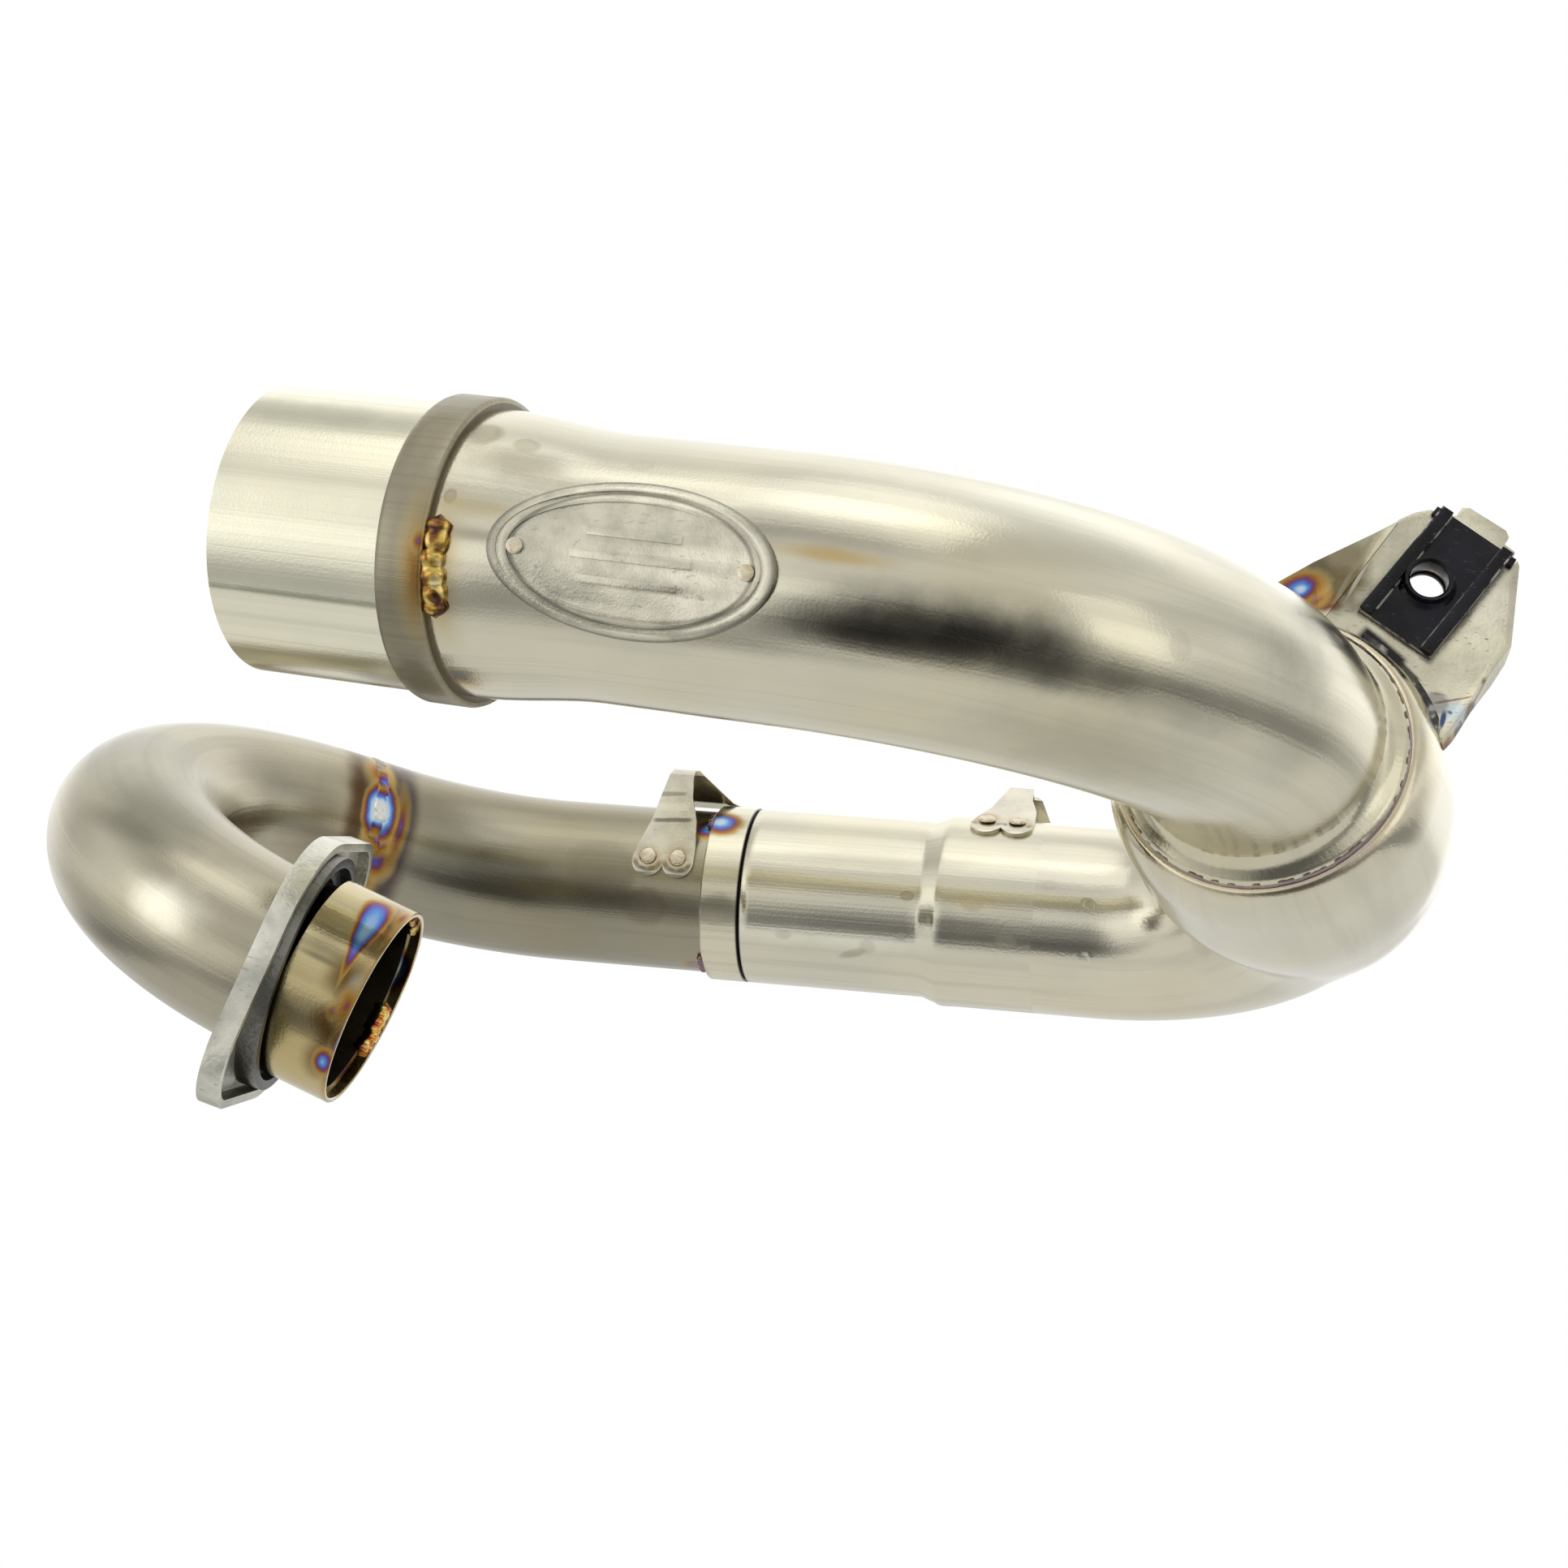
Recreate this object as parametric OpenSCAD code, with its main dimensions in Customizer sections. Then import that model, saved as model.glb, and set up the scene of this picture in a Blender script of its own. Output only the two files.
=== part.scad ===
// Motorcycle exhaust header: loose port flange, U bend, slip joint, chamber, tail tube, spring hooks and frame bracket.
// Frame: origin in the middle of the port mouth, +X forward, +Y away from the viewer, +Z up. Millimetres.

/* [Tubes] */
// outside radius of the header tube
pipe_r = 22.25; // [20:0.25:26]
// wall of the header tubes
wall = 1.0; // [0.8:0.1:1.6]
// outside radius of the tube that enters the chamber
inlet_r = 26; // [24:0.5:30]
// outside radius of the tail tube
tail_r = 30; // [28:0.5:33]
// outside radius of the outlet tube
outlet_r = 33; // [31:0.1:35]
// wall of the outlet tube
outlet_wall = 1.2; // [1:0.1:2]

/* [Port end] */
// downward tilt of the port axis
port_pitch = 24.5; // [0:0.5:45]
// outside radius of the port collar
spigot_r = 25; // [24:0.1:27]
// wall of the port collar
spigot_wall = 1.2; // [1:0.1:2]
// length of the port collar
spigot_len = 18.5; // [15:0.5:35]
// how far the bend's mouth stands back in the collar
mouth_back = 3; // [1:0.5:8]
// gap between the bend's mouth and the collar
mouth_gap = 0.1; // [0.05:0.05:0.3]
// travel from the mouth to the start of the U bend
port_lead = 22.5; // [20:0.5:30]

/* [U bend and link] */
// die radius of the U bend
u_bend_r = 64; // [50:1:90]
// angle of the U bend
u_bend_a = 150; // [90:1:180]
// roll of the U bend
u_bend_roll = 86; // [60:1:120]
// straight that carries the front weld
weld_lead = 14; // [8:0.5:30]
// where the front weld sits on that straight
front_weld_at = 5.5; // [3:0.5:11]
// die radius of the link bend
link_bend_r = 87; // [60:1:120]
// angle of the link bend
link_bend_a = 37; // [10:1:60]
// roll of the link bend
link_bend_roll = -37; // [-90:1:90]
// straight from the link bend to the slip joint
link_run = 52; // [40:0.5:80]

/* [Slip joint] */
// width of the stop ring
ring_len = 10.4; // [5:0.2:16]
// outside radius of the stop ring and the sleeve
ring_r = 24.1; // [23.5:0.1:26]
// depth of the male end in the sleeve
plug_len = 28; // [15:1:40]
// sliding clearance in the sleeve
slip_gap = 0.15; // [0.1:0.05:0.3]
// open line between the ring and the sleeve
slip_line = 0.6; // [0.3:0.1:1.5]
// sleeve length up to the swage
sleeve_len = 49.5; // [40:0.5:60]
// length of the swage cone
swage_len = 13; // [8:0.5:20]
// where the chamber starts on the straight
chamber_at = 80.3; // [70:0.1:90]

/* [Chamber] */
// straight from the slip line to the far bend
far_run = 95.5; // [85:0.5:110]
// die radius of the far bend
far_bend_r = 56; // [50:1:70]
// angle of the far bend
far_bend_a = 101; // [80:1:120]
// roll of the far bend
far_bend_roll = -2; // [-20:1:20]
// largest outside radius of the chamber
chamber_r = 39.8; // [36:0.1:45]
// wall of the chamber
chamber_wall = 1.2; // [1:0.1:2]
// where the swelling begins on the far bend
swell_a = 59; // [45:1:70]
// where the swelling ends past the far bend
swell_end = 19; // [10:0.5:30]
// where the chamber rounds down
round_at = 35.3; // [25:0.1:40]
// where the seam weld lies past the far bend
seam_at = 49.3; // [45:0.1:55]
// outside radius at the seam
seam_r = 34.8; // [33:0.1:38]

/* [Tail tube] */
// straight from the far bend to the near bends
near_run = 56.5; // [52:0.5:65]
// die radius of the near bends
near_bend_r = 80; // [65:1:100]
// angle of the first near bend
near_a1 = 20; // [10:1:40]
// roll of the first near bend
near_roll1 = 36; // [0:1:90]
// straight between the near bends
near_mid = 13; // [5:0.5:25]
// angle of the second near bend
near_a2 = 72; // [50:1:90]
// roll of the second near bend
near_roll2 = -46; // [-90:1:0]
// where the flare starts on the last straight
flare_at = 40; // [30:1:60]
// where the flare is full width
flare_end = 71; // [60:1:80]
// where the tail tube ends under the band
tail_end = 78; // [74:0.5:84]
// outlet end on the last straight
outlet_end = 127; // [100:1:140]
// where the outlet band begins
band_at = 72.5; // [68:0.5:78]
// width of the outlet band
band_len = 11.5; // [8:0.5:16]
// outside radius of the outlet band
band_r = 35; // [34:0.1:38]
// outside radius of the flare's end, which the band grips
flare_r = 32.5; // [31:0.1:34]

/* [Flange] */
// spacing of the two flange bolts
bolt_pcd = 68; // [60:0.5:76]
// hole for a flange bolt
bolt_hole = 8.5; // [6.5:0.1:10.5]
// outside radius of an ear
ear_r = 13.5; // [9:0.5:16]
// outside diameter of the flange boss
boss_d = 59; // [56:0.5:64]
// how far the boss stands out of the rim
boss_up = 2; // [0:0.1:5]
// outside radius of the flange about its bore
body_r = 32.5; // [30:0.5:36]
// seat for the collar in the boss
seat_d = 54; // [51:0.1:56]
// bore of the flange over the bend
flange_bore = 47.2; // [45:0.1:49]
// front face of the flange from the mouth
flange_at = 20.5; // [18:0.5:23]
// height of the rim
rim_h = 5.4; // [4:0.1:12]
// thickness of the flange floor
floor_t = 2; // [1.5:0.1:5]
// thickness of the rim
rim_t = 2.2; // [1.5:0.1:4]
// depth of the collar seat behind the rim face
seat_deep = 1.2; // [0.8:0.1:3]
// turn of the flange about the port axis
flange_turn = 63; // [-90:1:90]
// how far the loose flange leans on the pipe, about two axes
flange_lean = [1.7, -5]; // [-8:0.1:8]

/* [Hooks] */
// sheet thickness of the spring hooks
hook_t = 1.2; // [0.8:0.1:2]
// hook position past the link bend
front_hook_at = 30; // [20:0.5:34]
// second hook position past the slip line
mid_hook_at = 68.4; // [64:0.5:74]
// roll from the viewer's side of the front hook
front_hook_roll = 20; // [0:1:60]
// roll of the second hook
mid_hook_roll = -28; // [-60:1:20]
// spot weld spacing of a hook
hook_spots = 8.3; // [6:0.1:10]
// radius of a spot weld
spot_r = 2.5; // [1.5:0.1:4]
// height of a spot weld
spot_h = 0.7; // [0.3:0.1:1.5]

/* [Bracket] */
// thickness of the bracket plate
plate_t = 2; // [1.5:0.1:3]
// hole in the bracket plate
plate_hole = 10.4; // [8:0.1:12]
// height of the bracket hole past the far bend
hole_z = 36.7; // [30:0.1:42]
// tilt of the plate
plate_tilt = 20; // [0:1:40]
// bend of the left flank
left_fold = 30; // [0:1:60]
// bend of the right flank
right_fold = 75; // [20:1:85]
// thickness of the clip
clip_t = 1.1; // [0.8:0.1:2]
// width of the clip
clip_w = 20.8; // [16:0.1:26]
// length of the clip's front leg
clip_len = 35.5; // [26:0.5:40]
// length of the clip's rear leg
clip_back = 27; // [20:0.5:34]
// gap between the clip and the plate
clip_gap = 0.1; // [0:0.05:0.5]
// thread radius in the clip
clip_bore = 4.7; // [2.5:0.1:5.5]
// outside radius of the clip's collar
clip_collar = 5.9; // [5:0.1:8]
// height of the clip's collar
clip_collar_h = 4.4; // [2:0.1:8]
// height of the clip's side lips
clip_lip = 4.4; // [0:0.1:6]

/* [Badge and welds] */
// length of the badge
badge_len = 66; // [40:1:70]
// width of the badge
badge_wid = 33.6; // [20:0.2:40]
// thickness of the badge sheet
badge_t = 0.7; // [0.5:0.1:1.5]
// height of the badge's raised border
badge_rim = 0.5; // [0.3:0.1:1.2]
// middle of the badge on the last straight
badge_at = 25.5; // [20:0.5:32]
// roll of the badge
badge_roll = 172.7; // [150:0.1:200]
// width of a butt weld bead
bead_w = 4; // [2:0.1:7]
// height of a butt weld bead
bead_h = 0.5; // [0.2:0.1:1.2]
// width of the chamber seam weld
seam_w = 3.2; // [2:0.1:6]

/* [Hidden] */
$fn = 96;
// bends are a hair thinner than straights, and straights lap a hair into them, so every joint is clean
skin = 0.02;
lap = 0.05;

// rigid moves that walk along the tube
function turn_z(a) = [[cos(a), -sin(a), 0, 0], [sin(a), cos(a), 0, 0], [0, 0, 1, 0], [0, 0, 0, 1]];
function turn_y(a) = [[cos(a), 0, sin(a), 0], [0, 1, 0, 0], [-sin(a), 0, cos(a), 0], [0, 0, 0, 1]];
function turn_x(a) = [[1, 0, 0, 0], [0, cos(a), -sin(a), 0], [0, sin(a), cos(a), 0], [0, 0, 0, 1]];
function slide(x, z) = [[1, 0, 0, x], [0, 1, 0, 0], [0, 0, 1, z], [0, 0, 0, 1]];
function bent(m, roll, r, a) = m * turn_z(roll) * slide(r, 0) * turn_y(a) * slide(-r, 0);
function smooth(u) = u * u * (3 - 2 * u);

F0 = turn_y(port_pitch - 90);
F1 = F0 * slide(0, port_lead);
F2 = bent(F1, u_bend_roll, u_bend_r, u_bend_a);
F3 = F2 * slide(0, weld_lead);
F4 = bent(F3, link_bend_roll, link_bend_r, link_bend_a);
G0 = F4 * slide(0, link_run);
G1 = G0 * slide(0, far_run);
G2 = bent(G1, far_bend_roll, far_bend_r, far_bend_a);
G3 = G2 * slide(0, near_run);
G4 = bent(G3, near_roll1, near_bend_r, near_a1);
G5 = G4 * slide(0, near_mid);
G6 = bent(G5, near_roll2, near_bend_r, near_a2);

module tube(z0, z1, r, t) {
    translate([0, 0, z0])
        rotate_extrude()
            translate([r - t, 0])
                square([t, z1 - z0]);
}
module lathe(points) {
    rotate_extrude()
        polygon(points);
}
module elbow(roll, rad, a, r, t) {
    rotate([0, 0, roll])
        translate([rad, 0, 0])
            rotate([90, 0, 180])
                rotate_extrude(angle = a, $fn = 180)
                    translate([rad, 0])
                        difference() {
                            circle(r - skin);
                            circle(r - t + skin);
                        }
}
module arc_bead(z, r, w, h, from, sweep) {
    rotate([0, 0, from])
        rotate_extrude(angle = sweep)
            polygon([[r, z - w / 2], [r + h * 0.8, z - w / 4], [r + h, z], [r + h * 0.8, z + w / 4], [r, z + w / 2]]);
}

// port end
module port_spigot() color([0.78, 0.76, 0.72]) multmatrix(F0) {
    tube(0, spigot_len, spigot_r, spigot_wall);
}
mouth_r = spigot_r - spigot_wall - mouth_gap;
module port_bend() color([0.45, 0.42, 0.38]) union() {
    multmatrix(F0)
        lathe([
            [mouth_r - wall, mouth_back], [mouth_r, mouth_back], [mouth_r, 14], [pipe_r, 20],
            [pipe_r, port_lead + lap], [pipe_r - wall, port_lead + lap], [pipe_r - wall, 20], [mouth_r - wall, 14]]);
    multmatrix(F1)
        elbow(u_bend_roll, u_bend_r, u_bend_a, pipe_r, wall);
    multmatrix(F2)
        tube(-lap, front_weld_at, pipe_r, wall);
}
module spigot_weld() color([0.55, 0.42, 0.3]) multmatrix(F0) {
    for (k = [[115, 50], [215, 28], [300, 34], [20, 26]])
        rotate([0, 0, k[0]])
            rotate_extrude(angle = k[1])
                polygon([
                    [mouth_r + mouth_gap, mouth_back], [mouth_r - wall * 0.8, mouth_back],
                    [mouth_r - wall * 0.6, mouth_back - 0.7], [mouth_r + mouth_gap, mouth_back - 1.6]]);
}
wing_a = acos((body_r - ear_r) / (bolt_pcd / 2));
FL = F0 * slide(0, flange_at) * turn_y(flange_lean[1]) * turn_x(flange_lean[0]) * turn_z(flange_turn);
module flange_outline(g) {
    br = body_r - g;
    er = ear_r - g;
    hx = bolt_pcd / 2;
    circle(br);
    for (s = [-1, 1])
        translate([s * hx, 0])
            circle(er);
    polygon([
        [hx + er * cos(wing_a), er * sin(wing_a)], [br * cos(wing_a), br * sin(wing_a)],
        [-br * cos(wing_a), br * sin(wing_a)], [-hx - er * cos(wing_a), er * sin(wing_a)],
        [-hx - er * cos(wing_a), -er * sin(wing_a)], [-br * cos(wing_a), -br * sin(wing_a)],
        [br * cos(wing_a), -br * sin(wing_a)], [hx + er * cos(wing_a), -er * sin(wing_a)]]);
}
module port_flange() color([0.6, 0.58, 0.54]) multmatrix(FL) {
    difference() {
        union() {
            difference() {
                linear_extrude(rim_h)
                    flange_outline(0);
                translate([0, 0, -1])
                    linear_extrude(rim_h - floor_t + 1)
                        flange_outline(rim_t);
            }
            translate([0, 0, -boss_up])
                cylinder(h = rim_h + boss_up, d = boss_d);
        }
        translate([0, 0, -boss_up - 1])
            cylinder(h = boss_up + seat_deep + 1, d = seat_d);
        translate([0, 0, -1])
            cylinder(h = rim_h + 2, d = flange_bore);
        for (s = [-1, 1])
            translate([s * bolt_pcd / 2, 0, -1])
                cylinder(h = rim_h + 2, d = bolt_hole);
    }
}

// front weld and link tube
module front_weld() color([0.5, 0.42, 0.5]) multmatrix(F2) {
    arc_bead(front_weld_at, pipe_r, bead_w, bead_h, 0, 360);
}
module link_tube() color([0.5, 0.47, 0.43]) union() {
    multmatrix(F2)
        tube(front_weld_at, weld_lead + lap, pipe_r, wall);
    multmatrix(F3)
        elbow(link_bend_roll, link_bend_r, link_bend_a, pipe_r, wall);
    multmatrix(F4)
        tube(-lap, link_run + plug_len, pipe_r, wall);
}
sleeve_in = ring_r - wall;
module slip_collar() color([0.82, 0.8, 0.76]) multmatrix(G0) {
    lathe([
        [pipe_r, -ring_len], [ring_r - 0.4, -ring_len], [ring_r, -ring_len + 0.4], [ring_r, 0],
        [sleeve_in - slip_gap, 0], [sleeve_in - slip_gap, plug_len], [pipe_r, plug_len]]);
}
module collar_tacks() color([0.45, 0.38, 0.4]) multmatrix(G0) {
    for (k = [70, 190, 310])
        rotate([0, 0, k])
            rotate_extrude(angle = 22)
                polygon([[pipe_r, -ring_len - 2.6], [pipe_r + 0.6, -ring_len - 1.7], [ring_r - 0.6, -ring_len], [pipe_r, -ring_len]]);
}

// spring hooks
function unit(p) = p / norm(p);
function side(p) = [-p[1], p[0]];
function mitre(p, i, d) =
    let (n = len(p),
        a = i == 0 ? side(unit(p[1] - p[0])) : side(unit(p[i] - p[i - 1])),
        b = i == n - 1 ? a : side(unit(p[i + 1] - p[i])),
        m = unit(a + b))
    p[i] + m * d / (m * a);
function strap(p, t) = concat(
    [for (i = [0:len(p) - 1]) mitre(p, i, t / 2)],
    [for (i = [len(p) - 1:-1:0]) mitre(p, i, -t / 2)]);
// the strap in the cross section, for a tube of radius r
function hook_line(r, lift) = [
    [r * 0.985 + 0.6, -2], [r * 0.985 + 0.6, 4], [r * 0.885 + 0.55, r * 0.47 + 0.4], [r * 0.80 + 0.8, 18.7],
    [r * 0.72, 31], [r * 0.585, 32.2], [r * 0.145, r + 1.3 + lift], [-4, r + 0.75 + lift], [-7, r - 0.2 + lift]];
module hook(r, lift) {
    difference() {
        intersection() {
            translate([0, 0, -20])
                linear_extrude(50)
                    polygon([for (q = strap(hook_line(r, lift), hook_t)) [q[0], -q[1]]]);
            union() {
                rotate([0, 90, 0])
                    linear_extrude(60)
                        polygon([for (q = [[-8, 7.4], [-7.6, 11], [-4.3, 18.7], [-2.7, 25], [-0.2, 34], [5.4, 34], [6.1, 25], [8, 18.7], [8.6, 11], [8.6, 7.4]]) [-q[0], -q[1]]]);
                for (s = [-1, 1])
                    translate([0, -7.4, s * hook_spots / 2 + 0.1])
                        rotate([0, 90, 0])
                            cylinder(h = 60, r = 4.35);
                translate([-20, 0, 0])
                    rotate([0, 90, 0])
                        linear_extrude(r * 0.585 + 20)
                            polygon([for (q = [[-0.2, 34], [5.4, 34], [15, 24.5], [15, 18], [-4, 18], [-4, 24]]) [-q[0], -q[1]]]);
            }
        }
        translate([0, 0, -30])
            cylinder(h = 70, r = r, $fn = 180);
        if (lift > 0)
            translate([0, 0, link_run - ring_len - front_hook_at])
                cylinder(h = 30, r = r + lift, $fn = 180);
    }
}
module front_spring_hook() color([0.8, 0.78, 0.74]) multmatrix(F4 * slide(0, front_hook_at) * turn_z(front_hook_roll)) {
    hook(pipe_r, ring_r - pipe_r);
}
module hook_welds(r) {
    for (s = [-1, 1])
        translate([0, 0, s * hook_spots / 2])
            rotate([0, 0, -21.4])
                rotate([0, 90, 0])
                    translate([0, 0, r + hook_t - 0.05])
                        cylinder(h = spot_h, r1 = spot_r, r2 = spot_r * 0.8);
}
module front_hook_welds() color([0.75, 0.7, 0.6]) multmatrix(F4 * slide(0, front_hook_at) * turn_z(front_hook_roll)) {
    difference() {
        hook_welds(pipe_r);
        hook(pipe_r, ring_r - pipe_r);
    }
}

// sleeve and far tube
module mid_tube() color([0.7, 0.68, 0.64]) multmatrix(G0) {
    lathe([
        [sleeve_in, slip_line], [ring_r, slip_line], [ring_r, sleeve_len], [(ring_r + inlet_r) / 2 + 0.4, sleeve_len + swage_len * 0.45],
        [inlet_r, sleeve_len + swage_len], [inlet_r, chamber_at], [inlet_r - wall, chamber_at],
        [inlet_r - wall, sleeve_len + swage_len], [sleeve_in, sleeve_len]]);
}
module mid_spring_hook() color([0.8, 0.78, 0.74]) multmatrix(G0 * slide(0, mid_hook_at) * turn_z(mid_hook_roll)) {
    hook(inlet_r, 0);
}
module mid_hook_welds() color([0.75, 0.7, 0.6]) multmatrix(G0 * slide(0, mid_hook_at) * turn_z(mid_hook_roll)) {
    difference() {
        hook_welds(inlet_r);
        hook(inlet_r, 0);
    }
}
module inlet_weld() color([0.66, 0.64, 0.6]) multmatrix(G0) {
    arc_bead(chamber_at, inlet_r, 1.6, 0.15, 0, 360);
}

// chamber
bend_arc = far_bend_r * far_bend_a * PI / 180;
swell_from = far_bend_r * swell_a * PI / 180;
function chamber_rad(s) =
    let (u = min(1, max(0, (s - swell_from) / (bend_arc + swell_end - swell_from))))
    inlet_r + (chamber_r - inlet_r) * smooth(u);
function round_rad(z) = seam_r + (chamber_r - seam_r) * sqrt(max(0, 1 - pow((z - round_at) / (seam_at - round_at), 2)));
sides = 64;
elbow_steps = 12;
function ring(m, r) = [for (k = [0:sides - 1]) let (p = m * [r * cos(360 * k / sides), r * sin(360 * k / sides), 0, 1]) [p[0], p[1], p[2]]];
function station(a) = bent(G1, far_bend_roll, far_bend_r, a);
elbow_angles = [for (i = [0:elbow_steps]) swell_a + (far_bend_a - swell_a) * i / elbow_steps];
elbow_rings = concat(
    [for (a = elbow_angles) ring(station(a), chamber_rad(far_bend_r * a * PI / 180) - 3 * skin)],
    [for (i = [elbow_steps:-1:0]) ring(station(elbow_angles[i]), chamber_rad(far_bend_r * elbow_angles[i] * PI / 180) - (i == 0 ? wall : chamber_wall) + 8 * skin)]);
ring_count = len(elbow_rings);
module swelling() {
    polyhedron(
        points = [for (r = elbow_rings) for (p = r) p],
        faces = [for (i = [0:ring_count - 1]) for (k = [0:sides - 1])
            let (j = (i + 1) % ring_count, l = (k + 1) % sides)
            [i * sides + k, j * sides + k, j * sides + l, i * sides + l]],
        convexity = 6);
}
dome_z = [0, 4, 8, 12, 16, swell_end, round_at, 37.5, 39.5, 41.5, 43.5, 45.2, 46.8, 48, 48.9, seam_at];
function dome_rad(z) = z < round_at ? chamber_rad(bend_arc + z) : round_rad(z);
module dome() {
    lathe(concat(
        [[dome_rad(0), -lap]],
        [for (z = dome_z) [dome_rad(z), z]],
        [for (i = [len(dome_z) - 1:-1:0]) [dome_rad(dome_z[i]) - chamber_wall, dome_z[i]]],
        [[dome_rad(0) - chamber_wall, -lap]]));
}
module dome_solid(grow) {
    lathe(concat(
        [[0, 0]],
        [for (z = dome_z) [dome_rad(z) + grow, z]],
        [[seam_r + grow, seam_at + 12], [0, seam_at + 12]]));
}
module chamber_shell() color([0.8, 0.78, 0.74]) union() {
    multmatrix(G0)
        tube(chamber_at, far_run + lap, inlet_r, wall);
    multmatrix(G1)
        elbow(far_bend_roll, far_bend_r, swell_a + 0.1, inlet_r, wall);
    swelling();
    multmatrix(G2)
        dome();
}
module chamber_seam() color([0.5, 0.42, 0.45]) multmatrix(G2) {
    lathe([
        [seam_r, seam_at], [dome_rad(dome_z[14]), dome_z[14]], [dome_rad(dome_z[14]) + 0.1, seam_at + seam_w * 0.1],
        [seam_r + bead_h + 0.3, seam_at + seam_w * 0.35], [seam_r, seam_at + seam_w / 2]]);
}

// tail tube
function flare_line(grow) = [for (i = [0:6]) [tail_r + grow + (flare_r - tail_r) * smooth(i / 6), flare_at + (flare_end - flare_at) * i / 6]];
module tail_tube() color([0.76, 0.74, 0.7]) union() {
    multmatrix(G2)
        lathe([
            [seam_r, seam_at], [seam_r, seam_at + seam_w / 2], [seam_r - 2.2, seam_at + 3.2], [tail_r + 0.6, seam_at + 5.2], [tail_r, near_run], [tail_r, near_run + lap],
            [tail_r - wall, near_run + lap], [tail_r - wall, seam_at + 5.2], [seam_r - 3.4, seam_at + 3.2], [seam_r - wall, seam_at]]);
    multmatrix(G3)
        elbow(near_roll1, near_bend_r, near_a1, tail_r, wall);
    multmatrix(G4)
        tube(-lap, near_mid + lap, tail_r, wall);
    multmatrix(G5)
        elbow(near_roll2, near_bend_r, near_a2, tail_r, wall);
    multmatrix(G6)
        lathe(concat(
            [[tail_r, -lap]],
            flare_line(0),
            [[flare_r, tail_end], [flare_r - wall, tail_end]],
            [for (i = [6:-1:0]) flare_line(-wall)[i]],
            [[tail_r - wall, -lap]]));
}
module outlet_tube() color([0.85, 0.83, 0.78]) multmatrix(G6) {
    lathe([
        [outlet_r - outlet_wall, tail_end], [flare_r, tail_end], [flare_r, band_at + band_len + 0.3],
        [outlet_r, band_at + band_len + 0.4], [outlet_r, outlet_end], [outlet_r - outlet_wall, outlet_end]]);
}
module outlet_band() color([0.5, 0.47, 0.43]) multmatrix(G6) {
    lathe([
        [flare_r, band_at], [band_r - 0.7, band_at], [band_r, band_at + 0.7],
        [band_r, band_at + band_len - 1.2], [band_r - 0.8, band_at + band_len], [flare_r, band_at + band_len]]);
}
module band_weld() color([0.6, 0.5, 0.35]) multmatrix(G6) {
    rotate([0, 0, 141])
        rotate_extrude(angle = 40)
            polygon([[flare_r, band_at - 4.6], [flare_r + 1.4, band_at - 3.6], [band_r - 0.8, band_at - 0.8], [band_r - 0.8, band_at], [flare_r, band_at]]);
}

// badge
module oval_bar(len_, wid, h) {
    rotate([0, 90, 0])
        linear_extrude(h)
            polygon([for (i = [0:6:354]) [len_ / 2 * cos(i), wid / 2 * sin(i)]]);
}
// a skin of the tail tube's outside, between two heights over it
module badge_skin(low, high) {
    translate([0, 0, -badge_at])
        lathe(concat(
            [[tail_r + high, -20], [tail_r + low, -20]],
            flare_line(low),
            [for (i = [6:-1:0]) flare_line(high)[i]]));
}
module badge_plate() color([0.78, 0.76, 0.72]) multmatrix(G6 * slide(0, badge_at) * turn_z(badge_roll)) {
    difference() {
        intersection() {
            badge_skin(0, badge_t + badge_rim);
            oval_bar(badge_len, badge_wid, 60);
        }
        intersection() {
            badge_skin(badge_t, badge_t + badge_rim + 1);
            union() {
                difference() {
                    oval_bar(badge_len - 4, badge_wid - 4, 60);
                    oval_bar(badge_len - 6.4, badge_wid - 6.4, 61);
                }
                difference() {
                    oval_bar(badge_len - 9, badge_wid - 9, 60);
                    for (s = [-1, 0, 1])
                        translate([0, s * 5.2 - 0.9, -14 + abs(s) * 3])
                            cube([60, 1.8, 28 - abs(s) * 6]);
                }
            }
        }
    }
}
module badge_welds() color([0.55, 0.5, 0.45]) multmatrix(G6 * slide(0, badge_at) * turn_z(badge_roll)) {
    intersection() {
        badge_skin(badge_t, badge_t + badge_rim + 0.4);
        for (s = [-1, 1])
            translate([0, 0, s * (badge_len / 2 - 6.4)])
                rotate([0, 90, 0])
                    cylinder(h = 60, r = 1.8);
    }
}

// frame bracket, drawn in the plane of its plate
hole_x = -33;
hole_y = -52.4;
PL = G2 * [[1, 0, 0, hole_x], [0, 1, 0, hole_y], [0, 0, 1, hole_z], [0, 0, 0, 1]] * turn_y(-plate_tilt);
clip_at = [-0.2, 1.9];
clip_turn = -120.8;
clip_low = [-16.1, -1.4];
ridge_l = [[8.3, -14.7], [28.2, 21.3]];
ridge_r = [[-21.5, 15.2], [-6.5, 42.5]];
module on_dome() {
    multmatrix(turn_y(plate_tilt) * [[1, 0, 0, -hole_x], [0, 1, 0, -hole_y], [0, 0, 1, -hole_z], [0, 0, 0, 1]])
        children();
}
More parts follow.
